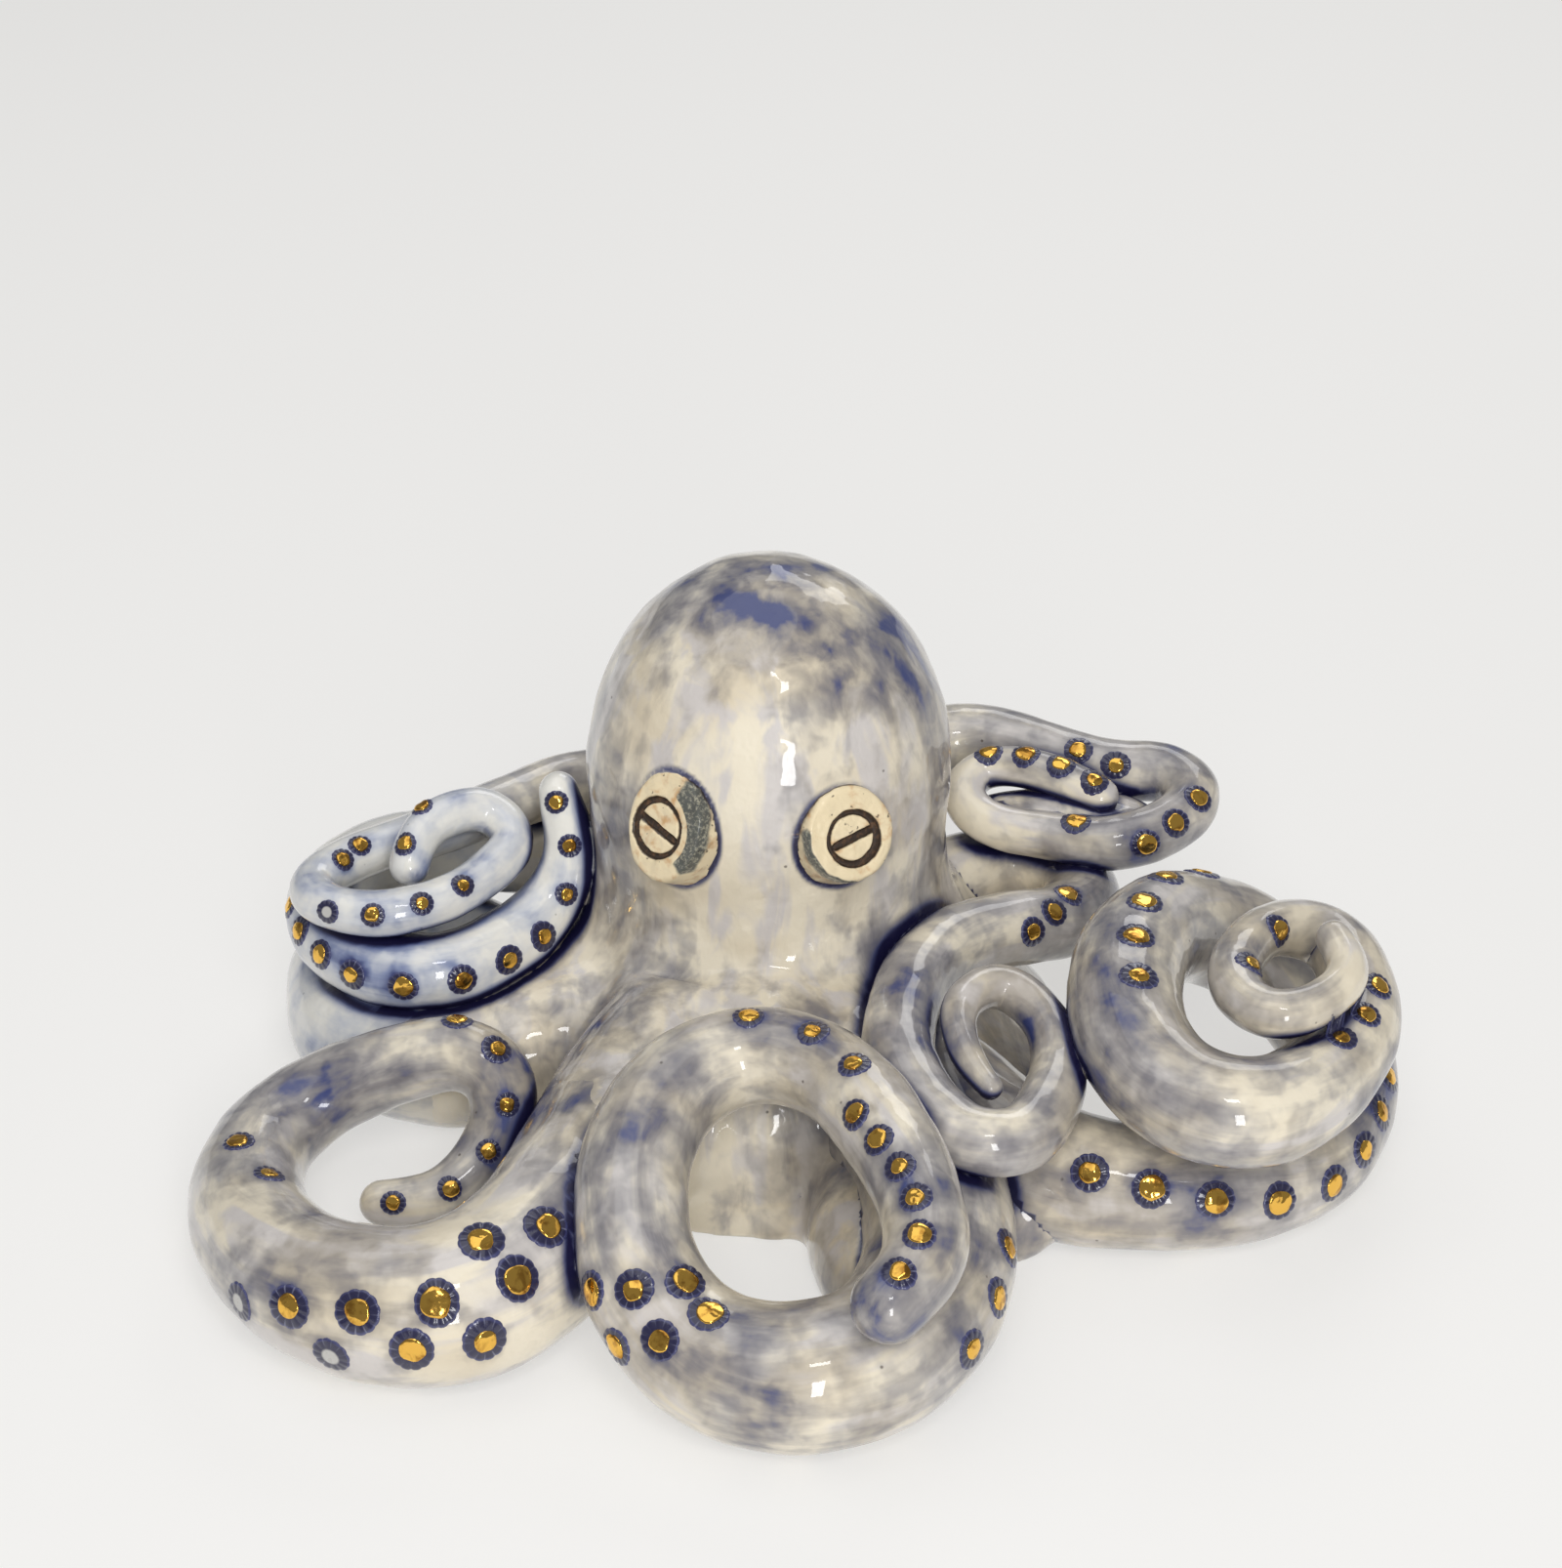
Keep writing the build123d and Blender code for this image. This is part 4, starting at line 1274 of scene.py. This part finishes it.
class Nodes:
    """Lays out one material's nodes."""

    def __init__(self, name: str) -> None:
        """Start a material with a bare shader."""
        self.material = bpy.data.materials.new(name)
        self.material.use_nodes = True
        self.tree = self.material.node_tree
        self.shader = self.tree.nodes["Principled BSDF"]
        self.place = self.add("ShaderNodeTexCoord").outputs["Object"]

    def add(self, kind: str, **settings: object) -> bpy.types.Node:
        """Add a node and set its own settings."""
        node = self.tree.nodes.new(kind)
        for name, value in settings.items():
            setattr(node, name, value)
        return node

    def feed(self, socket: bpy.types.NodeSocket, value: object) -> None:
        """Link a socket to another, or set it to a plain value."""
        if isinstance(value, bpy.types.NodeSocket):
            self.tree.links.new(value, socket)
        else:
            socket.default_value = value

    def attribute(self, name: str, output: str = "Fac") -> bpy.types.NodeSocket:
        """Read a value that the piece carries on its points."""
        return self.add("ShaderNodeAttribute", attribute_name=name).outputs[output]

    def noise(
        self, place: object, scale: float, detail: float = 4.0, rough: float = 0.55, warp: float = 0.0
    ) -> bpy.types.NodeSocket:
        """Cloudy noise from 0 to 1, as a value socket."""
        node = self.add("ShaderNodeTexNoise")
        self.feed(node.inputs["Vector"], place)
        node.inputs["Scale"].default_value = scale
        node.inputs["Detail"].default_value = detail
        node.inputs["Roughness"].default_value = rough
        node.inputs["Distortion"].default_value = warp
        return node.outputs["Fac"]

    def cells(self, place: object, scale: float) -> bpy.types.Node:
        """Scattered cells, with their distance and colour outputs."""
        node = self.add("ShaderNodeTexVoronoi")
        self.feed(node.inputs["Vector"], place)
        node.inputs["Scale"].default_value = scale
        return node

    def sum(self, *values: object) -> bpy.types.NodeSocket:
        """Add values together."""
        return self.chain("ADD", values)

    def product(self, *values: object) -> bpy.types.NodeSocket:
        """Multiply values together."""
        return self.chain("MULTIPLY", values)

    def chain(self, operation: str, values: tuple[object, ...]) -> bpy.types.NodeSocket:
        """Run one sum over several values in turn."""
        result = values[0]
        for value in values[1:]:
            node = self.add("ShaderNodeMath", operation=operation)
            self.feed(node.inputs[0], result)
            self.feed(node.inputs[1], value)
            result = node.outputs[0]
        return result

    def band(
        self, value: object, low: float, high: float, bottom: float = 0.0, top: float = 1.0
    ) -> bpy.types.NodeSocket:
        """A soft step from bottom to top as a value passes from low to high."""
        node = self.add("ShaderNodeMapRange", interpolation_type="SMOOTHSTEP", clamp=True)
        self.feed(node.inputs["Value"], value)
        node.inputs["From Min"].default_value = low
        node.inputs["From Max"].default_value = high
        node.inputs["To Min"].default_value = bottom
        node.inputs["To Max"].default_value = top
        return node.outputs["Result"]

    def blend(self, factor: object, first: object, second: object) -> bpy.types.NodeSocket:
        """Mix two colours."""
        node = self.add("ShaderNodeMix", data_type="RGBA")
        self.feed(node.inputs[0], factor)
        self.feed(node.inputs[6], first)
        self.feed(node.inputs[7], second)
        return node.outputs[2]

    def bump(self, height: object, depth: float, strength: float = 1.0) -> None:
        """Raise the shader's surface by a height, given its depth in metres."""
        node = self.add("ShaderNodeBump")
        node.inputs["Strength"].default_value = strength
        node.inputs["Distance"].default_value = depth
        self.feed(node.inputs["Height"], height)
        self.feed(self.shader.inputs["Normal"], node.outputs["Normal"])

    def shade(self, **values: object) -> bpy.types.Material:
        """Set the shader's sockets and hand over the material."""
        for name, value in values.items():
            self.feed(self.shader.inputs[name.replace("_", " ")], value)
        return self.material


@dataclass(frozen=True)
class Glaze:
    """Clear gloss over clay with brushed cobalt that thins on ridges, and painted shade in creases, where
    the cobalt also pools.
    """

    name: str
    bias: float = 0.0
    cream: Colour = (0.800, 0.725, 0.575, 1)
    beige: Colour = (0.655, 0.565, 0.415, 1)
    film: Colour = (0.375, 0.330, 0.270, 1)
    lavender: Colour = (0.315, 0.297, 0.295, 1)
    slate: Colour = (0.150, 0.143, 0.165, 1)
    cobalt: Colour = (0.036, 0.050, 0.165, 1)
    # navy is used only for the painted shade deepest in creases
    navy: Colour = (0.010, 0.009, 0.042, 1)
    haze: Colour = (0.545, 0.520, 0.540, 1)
    white: Colour = (0.790, 0.785, 0.745, 1)
    pale_film: Colour = (0.500, 0.525, 0.585, 1)
    pale_blue: Colour = (0.135, 0.180, 0.350, 1)
    speck: Colour = (0.045, 0.032, 0.024, 1)

    def material(self) -> bpy.types.Material:
        """Lay out the glaze's nodes.

        Returns:
            The material.
        """
        nodes = Nodes(self.name)
        brush = nodes.attribute("brush", "Vector")
        pale = nodes.attribute("pale")
        drift = nodes.noise(nodes.place, 18, 2, 0.5)
        clouds = nodes.noise(nodes.place, 48, 3, 0.5, 0.5)
        strokes = nodes.noise(brush, 125, 4, 0.55, 0.4)
        dabs = nodes.noise(nodes.place, 175, 2, 0.5, 0.2)
        grain = nodes.noise(nodes.place, 600, 2, 0.6)
        amount = nodes.sum(
            nodes.attribute("wash"),
            nodes.band(drift, 0.34, 0.68, 0.0, 0.28),
            nodes.band(clouds, 0.36, 0.66, 0.0, 0.40),
            nodes.band(strokes, 0.34, 0.68, 0.0, 0.34),
            nodes.band(dabs, 0.40, 0.64, 0.0, 0.16),
            nodes.product(grain, 0.08),
            nodes.product(pale, -0.15),
            self.bias,
        )
        warm = nodes.noise(nodes.place, 30, 3, 0.5, 0.4)
        clay = nodes.blend(nodes.band(warm, 0.42, 0.70), self.cream, self.beige)
        haze = nodes.noise(brush, 105, 3, 0.5, 0.6)
        clay = nodes.blend(nodes.band(haze, 0.46, 0.60, 0.0, 0.70), clay, self.haze)
        clay = nodes.blend(nodes.product(pale, 0.8), clay, self.white)
        film = nodes.blend(nodes.band(warm, 0.58, 0.40), self.film, self.lavender)
        film = nodes.blend(pale, film, self.pale_film)
        slate = nodes.blend(pale, self.slate, self.pale_blue)
        colour = nodes.blend(nodes.band(amount, 0.26, 0.74, 0.0, 0.85), clay, film)
        colour = nodes.blend(nodes.band(amount, 0.62, 1.00, 0.0, 0.80), colour, slate)
        colour = nodes.blend(nodes.band(amount, 0.92, 1.22), colour, self.cobalt)
        # Painted shade: the crevice measure darkens creases and gaps through slate and cobalt to navy,
        # along with the cobalt pooled there
        shade_and_pooling = nodes.sum(nodes.attribute("crevice"), nodes.product(strokes, 0.10), -0.05)
        colour = nodes.blend(nodes.band(shade_and_pooling, 0.06, 0.24, 0.0, 0.65), colour, slate)
        colour = nodes.blend(nodes.band(shade_and_pooling, 0.16, 0.31, 0.0, 0.85), colour, self.cobalt)
        colour = nodes.blend(nodes.band(shade_and_pooling, 0.23, 0.37), colour, self.navy)
        pits = nodes.cells(nodes.place, 260)
        gate = nodes.band(pits.outputs["Color"], 0.84, 0.86)
        dots = nodes.product(nodes.band(pits.outputs["Distance"], 0.13, 0.05), gate)
        colour = nodes.blend(nodes.product(dots, 0.7), colour, self.speck)
        dents = nodes.noise(nodes.place, 330, 2, 0.5)
        height = nodes.sum(
            nodes.product(strokes, 0.50),
            nodes.product(clouds, 0.60),
            nodes.product(dabs, 0.70),
            nodes.product(dents, 0.16),
            nodes.product(dots, -0.20),
        )
        nodes.bump(height, 1.2 * MM, 0.6)
        return nodes.shade(
            Base_Color=colour,
            Roughness=nodes.band(strokes, 0.3, 0.7, 0.30, 0.45),
            Coat_Weight=1.0,
            Coat_Roughness=0.025,
        )


@dataclass(frozen=True)
class RosetteGlaze:
    """Dark cobalt rubbed into stamped petals, wiped pale on the lines between them."""

    name: str = "sucker_glaze"
    petal: Colour = (0.012, 0.011, 0.046, 1)
    worn: Colour = (0.052, 0.056, 0.150, 1)
    line: Colour = (0.180, 0.185, 0.270, 1)
    clay: Colour = (0.560, 0.545, 0.510, 1)

    def material(self) -> bpy.types.Material:
        """Lay out the rosettes' nodes.

        Returns:
            The material.
        """
        nodes = Nodes(self.name)
        petal = nodes.attribute("petal")
        out = nodes.attribute("out")
        mottle = nodes.noise(nodes.place, 420, 3, 0.6)
        patch = nodes.noise(nodes.place, 130, 2, 0.5)
        edge = nodes.sum(nodes.band(out, 0.72, 1.0), nodes.product(mottle, 0.5), patch, -0.75)
        colour = nodes.blend(nodes.band(edge, 0.35, 1.05), self.petal, self.worn)
        groove = nodes.sum(petal, nodes.product(mottle, 0.5), -0.25)
        lines = nodes.product(nodes.band(groove, 0.30, 0.10), nodes.band(out, 0.46, 0.85))
        rubbed = nodes.band(patch, 0.40, 0.62, 0.15, 0.75)
        colour = nodes.blend(nodes.product(lines, rubbed), colour, self.line)
        bare = nodes.product(nodes.attribute("bare"), nodes.band(out, 0.52, 0.36))
        colour = nodes.blend(nodes.product(bare, 0.9), colour, self.clay)
        nodes.bump(nodes.product(mottle, 0.6), 0.5 * MM, 0.5)
        return nodes.shade(
            Base_Color=colour,
            Roughness=nodes.band(mottle, 0.3, 0.7, 0.25, 0.40),
            Coat_Weight=0.8,
            Coat_Roughness=0.03,
        )


@dataclass(frozen=True)
class Lustre:
    """Bright fired gold, uneven and darker where it is thin."""

    name: str = "gold_lustre"
    bright: Colour = (0.950, 0.560, 0.110, 1)
    thin: Colour = (0.460, 0.225, 0.040, 1)

    def material(self) -> bpy.types.Material:
        """Lay out the gold's nodes.

        Returns:
            The material.
        """
        nodes = Nodes(self.name)
        cloud = nodes.noise(nodes.place, 260, 3, 0.55, 0.6)
        colour = nodes.blend(nodes.band(cloud, 0.46, 0.68), self.bright, self.thin)
        nodes.bump(nodes.noise(nodes.place, 360, 2, 0.5), 0.5 * MM, 0.4)
        polish = nodes.band(cloud, 0.3, 0.7, 0.06, 0.18)
        return nodes.shade(Base_Color=colour, Metallic=1.0, Roughness=polish)


@dataclass(frozen=True)
class EyeGlaze:
    """Bare buff clay under thin gloss, with oxide in the cuts, a stain down one side, and painted shade in
    its creases in the oxide colour.
    """

    name: str = "eye_glaze"
    cream: Colour = (0.800, 0.670, 0.440, 1)
    blush: Colour = (0.600, 0.365, 0.170, 1)
    oxide: Colour = (0.030, 0.016, 0.012, 1)
    stain: Colour = (0.055, 0.066, 0.066, 1)
    stain_worn: Colour = (0.330, 0.320, 0.250, 1)

    def material(self) -> bpy.types.Material:
        """Lay out the eyes' nodes.

        Returns:
            The material.
        """
        nodes = Nodes(self.name)
        mottle = nodes.noise(nodes.place, 260, 3, 0.55, 0.3)
        fine = nodes.noise(nodes.place, 1100, 3, 0.65)
        colour = nodes.blend(nodes.band(mottle, 0.50, 0.74), self.cream, self.blush)
        uneven = nodes.sum(nodes.product(mottle, 0.5), nodes.product(fine, 0.3), -0.40)
        stained = nodes.sum(nodes.attribute("stain"), uneven)
        stain = nodes.blend(nodes.band(fine, 0.46, 0.66), self.stain, self.stain_worn)
        colour = nodes.blend(nodes.band(stained, 0.30, 0.62, 0.0, 0.95), colour, stain)
        # Painted shade: the crevice measure darkens the eye's creases and its foot to the oxide colour
        closed = nodes.sum(nodes.attribute("crevice"), nodes.product(mottle, 0.2), -0.1)
        colour = nodes.blend(nodes.band(closed, 0.16, 0.36, 0.0, 0.90), colour, self.oxide)
        cut = nodes.sum(nodes.attribute("oxide"), nodes.product(fine, 0.5), -0.25)
        colour = nodes.blend(nodes.band(cut, 0.20, 0.65, 0.0, 0.97), colour, self.oxide)
        flecks = nodes.band(nodes.noise(nodes.place, 620, 2, 0.5), 0.68, 0.73)
        colour = nodes.blend(nodes.product(flecks, 0.75), colour, self.oxide)
        nodes.bump(nodes.sum(mottle, nodes.product(fine, 0.3)), 0.45 * MM, 0.6)
        return nodes.shade(
            Base_Color=colour,
            Roughness=nodes.band(mottle, 0.3, 0.7, 0.30, 0.45),
            Coat_Weight=0.5,
            Coat_Roughness=0.04,
        )


@dataclass(frozen=True)
class Oxide:
    """Matt iron oxide, brown-black and grainy."""

    name: str = "iron_oxide"
    dark: Colour = (0.030, 0.018, 0.012, 1)
    rust: Colour = (0.115, 0.060, 0.030, 1)

    def material(self) -> bpy.types.Material:
        """Lay out the oxide's nodes.

        Returns:
            The material.
        """
        nodes = Nodes(self.name)
        grain = nodes.noise(nodes.place, 900, 4, 0.65)
        colour = nodes.blend(nodes.band(grain, 0.46, 0.70), self.dark, self.rust)
        nodes.bump(grain, 0.3 * MM, 0.7)
        return nodes.shade(Base_Color=colour, Roughness=nodes.band(grain, 0.3, 0.7, 0.35, 0.6))


@dataclass(frozen=True)
class Lamp:
    """A soft studio lamp: its place and target in metres, its size and its power."""

    name: str
    place: tuple[float, float, float]
    target: tuple[float, float, float]
    width: float
    height: float
    power: float
    mirrored: bool = True


@dataclass
class Studio:
    """The pale floor, the lamps, the sky and the camera."""

    floor_colour: Colour = (0.90, 0.89, 0.87, 1)
    floor_glow: float = 0.6
    sky_colour: Colour = (0.94, 0.96, 1.0, 1)
    sky_strength: float = 0.25
    camera_place: tuple[float, float, float] = (0.0, -0.6843, 0.4875)
    camera_turn: tuple[float, float, float] = (58.99, 0.0, -0.245)
    lens: float = 78.46
    lamps: tuple[Lamp, ...] = (
        Lamp("key_lamp", (0.10, -1.05, 0.95), (0, -0.02, 0.05), 0.90, 0.70, 9.8, mirrored=False),
        Lamp("top_lamp", (-0.25, 0.05, 1.35), (0, 0, 0.05), 1.40, 1.10, 4.4),
        Lamp("window_lamp", (0.22, -1.30, 0.42), (0, 0, 0.06), 0.16, 0.46, 3.0),
        Lamp("roof_lamp", (0.12, -0.75, 1.15), (0, 0, 0.05), 0.22, 0.14, 1.10),
        Lamp("back_lamp", (0.30, 0.90, 0.80), (0, 0, 0.06), 0.60, 0.40, 1.8),
    )

    def build_floor(self) -> None:
        """Lay a wide pale floor with a faint mottle, which looks paler than the lamps make it."""
        form = bmesh.new()
        bmesh.ops.create_grid(form, x_segments=8, y_segments=8, size=6.0)
        mesh = bpy.data.meshes.new("studio_floor")
        form.to_mesh(mesh)
        form.free()
        floor = bpy.data.objects.new("studio_floor", mesh)
        bpy.context.scene.collection.objects.link(floor)
        nodes = Nodes("studio_floor")
        tint = nodes.noise(nodes.place, 2.0, 2)
        paler = tuple(min(1.0, part * 1.02) for part in self.floor_colour)
        colour = nodes.blend(tint, self.floor_colour, paler)
        mesh.materials.append(nodes.shade(Base_Color=colour, Roughness=0.9))
        rays = nodes.add("ShaderNodeLightPath").outputs
        seen = nodes.chain(
            "MAXIMUM", (rays["Is Camera Ray"], rays["Is Glossy Ray"], rays["Is Transmission Ray"])
        )
        glow = nodes.add("ShaderNodeEmission")
        nodes.feed(glow.inputs["Color"], colour)
        mixed = nodes.add("ShaderNodeMixShader")
        nodes.feed(mixed.inputs[0], nodes.product(seen, self.floor_glow))
        nodes.feed(mixed.inputs[1], nodes.shader.outputs[0])
        nodes.feed(mixed.inputs[2], glow.outputs[0])
        nodes.feed(nodes.tree.nodes["Material Output"].inputs["Surface"], mixed.outputs[0])

    def hang_lamps(self) -> None:
        """Hang each lamp and turn it to its target."""
        for lamp in self.lamps:
            light = bpy.data.lights.new(lamp.name, "AREA")
            light.shape = "RECTANGLE"
            light.size = lamp.width
            light.size_y = lamp.height
            light.energy = lamp.power
            holder = bpy.data.objects.new(lamp.name, light)
            holder.location = lamp.place
            holder.visible_glossy = lamp.mirrored
            way = Vector(lamp.target) - Vector(lamp.place)
            holder.rotation_euler = way.to_track_quat("-Z", "Y").to_euler()
            bpy.context.scene.collection.objects.link(holder)

    def light_sky(self) -> None:
        """Fill the room with even pale light."""
        world = bpy.data.worlds.new("studio_sky")
        bpy.context.scene.world = world
        world.use_nodes = True
        sky = world.node_tree.nodes["Background"]
        sky.inputs["Color"].default_value = self.sky_colour
        sky.inputs["Strength"].default_value = self.sky_strength

    def place_camera(self) -> None:
        """Set the camera at the photograph's angle."""
        lens = bpy.data.cameras.new("camera")
        lens.lens = self.lens
        lens.sensor_width = 36.0
        camera = bpy.data.objects.new("camera", lens)
        camera.location = self.camera_place
        camera.rotation_euler = [math.radians(angle) for angle in self.camera_turn]
        bpy.context.scene.collection.objects.link(camera)
        bpy.context.scene.camera = camera

    def build(self) -> None:
        """Set up the whole studio."""
        bpy.context.scene.view_settings.view_transform = "Standard"
        self.build_floor()
        self.hang_lamps()
        self.light_sky()
        self.place_camera()


def dress(piece: bpy.types.Object, material: bpy.types.Material) -> None:
    """Give a piece its finish and report it."""
    piece.data.materials.clear()
    piece.data.materials.append(material)
    LOG.info("%s: %d faces, %s", piece.name, len(piece.data.polygons), material.name)


def main() -> None:
    """Build the octopus from its body, arms, suckers and eyes, and set it in the studio."""
    logging.basicConfig(level=logging.INFO, format="%(message)s")
    Studio().build()
    coils = [Coil(plan, SEED_STEP * (index + 1)) for index, plan in enumerate(ARM_PLANS)]
    body = Body()
    skins = [body.build(coils)] + [coil.build() for coil in coils]
    eyes = (
        Eye(
            side="left",
            body=body,
            azimuth=-31.2,
            height=80.3,
            turn=-40.9,
            tilt=21.3,
            base_diameter=27.0,
            width_share=0.79,
            rise=2.5,
            ring_diameter=14.4,
            ring_aside=-1.5,
            ring_lift=-1.1,
            slit_angle=166.0,
            stain_turn=14.0,
            stain_inside=0.0,
            heavy_turn=195.0,
        ),
        Eye(
            side="right",
            body=body,
            azimuth=23.8,
            height=79.8,
            turn=24.8,
            tilt=23.4,
            base_diameter=23.2,
            width_share=0.95,
            rise=3.3,
            ring_diameter=13.4,
            ring_aside=0.35,
            ring_lift=-1.0,
            slit_angle=12.7,
            stain_turn=212.0,
            stain_inside=0.90,
            heavy_turn=-35.0,
        ),
    )
    bosses = [eye.build_boss() for eye in eyes]
    suckers = {coil: Suckers(coil) for coil in coils if coil.plan.suckers}

    # Painted shade: how closed in each point is, stored as crevice, darkens creases and gaps in the glazes
    crevices = Crevices(skins)
    for skin in skins[1:] + bosses:
        give_attribute(skin, "crevice", crevices.measure(skin))
    closed = crevices.measure(skins[0])
    # The body also gets a painted shade line round each eye's foot
    for eye in eyes:
        closed = np.maximum(closed, crevices.eye_shade_line * eye.foot_shade_line(points_of(skins[0])))
    give_attribute(skins[0], "crevice", closed)
    give_attribute(skins[0], "wash", washes_of(skins[0]))
    for coil in coils:
        bled = suckers[coil].bleed(points_of(coil.skin)) if coil in suckers else 0.0
        give_attribute(coil.skin, "wash", washes_of(coil.skin) + bled)

    dress(skins[0], Glaze("body_glaze", bias=-0.12).material())
    arm_glaze = Glaze("arm_glaze", bias=0.02).material()
    for coil in coils:
        dress(coil.skin, arm_glaze)
    rosette_glaze = RosetteGlaze().material()
    lustre = Lustre().material()
    for stamped in suckers.values():
        dress(stamped.build_rosettes(), rosette_glaze)
        dress(stamped.build_drops(), lustre)
    eye_glaze = EyeGlaze().material()
    oxide = Oxide().material()
    for eye, boss in zip(eyes, bosses):
        dress(boss, eye_glaze)
        dress(eye.build_ring(), oxide)
        dress(eye.build_slit(), oxide)


if __name__ == "__main__":
    main()
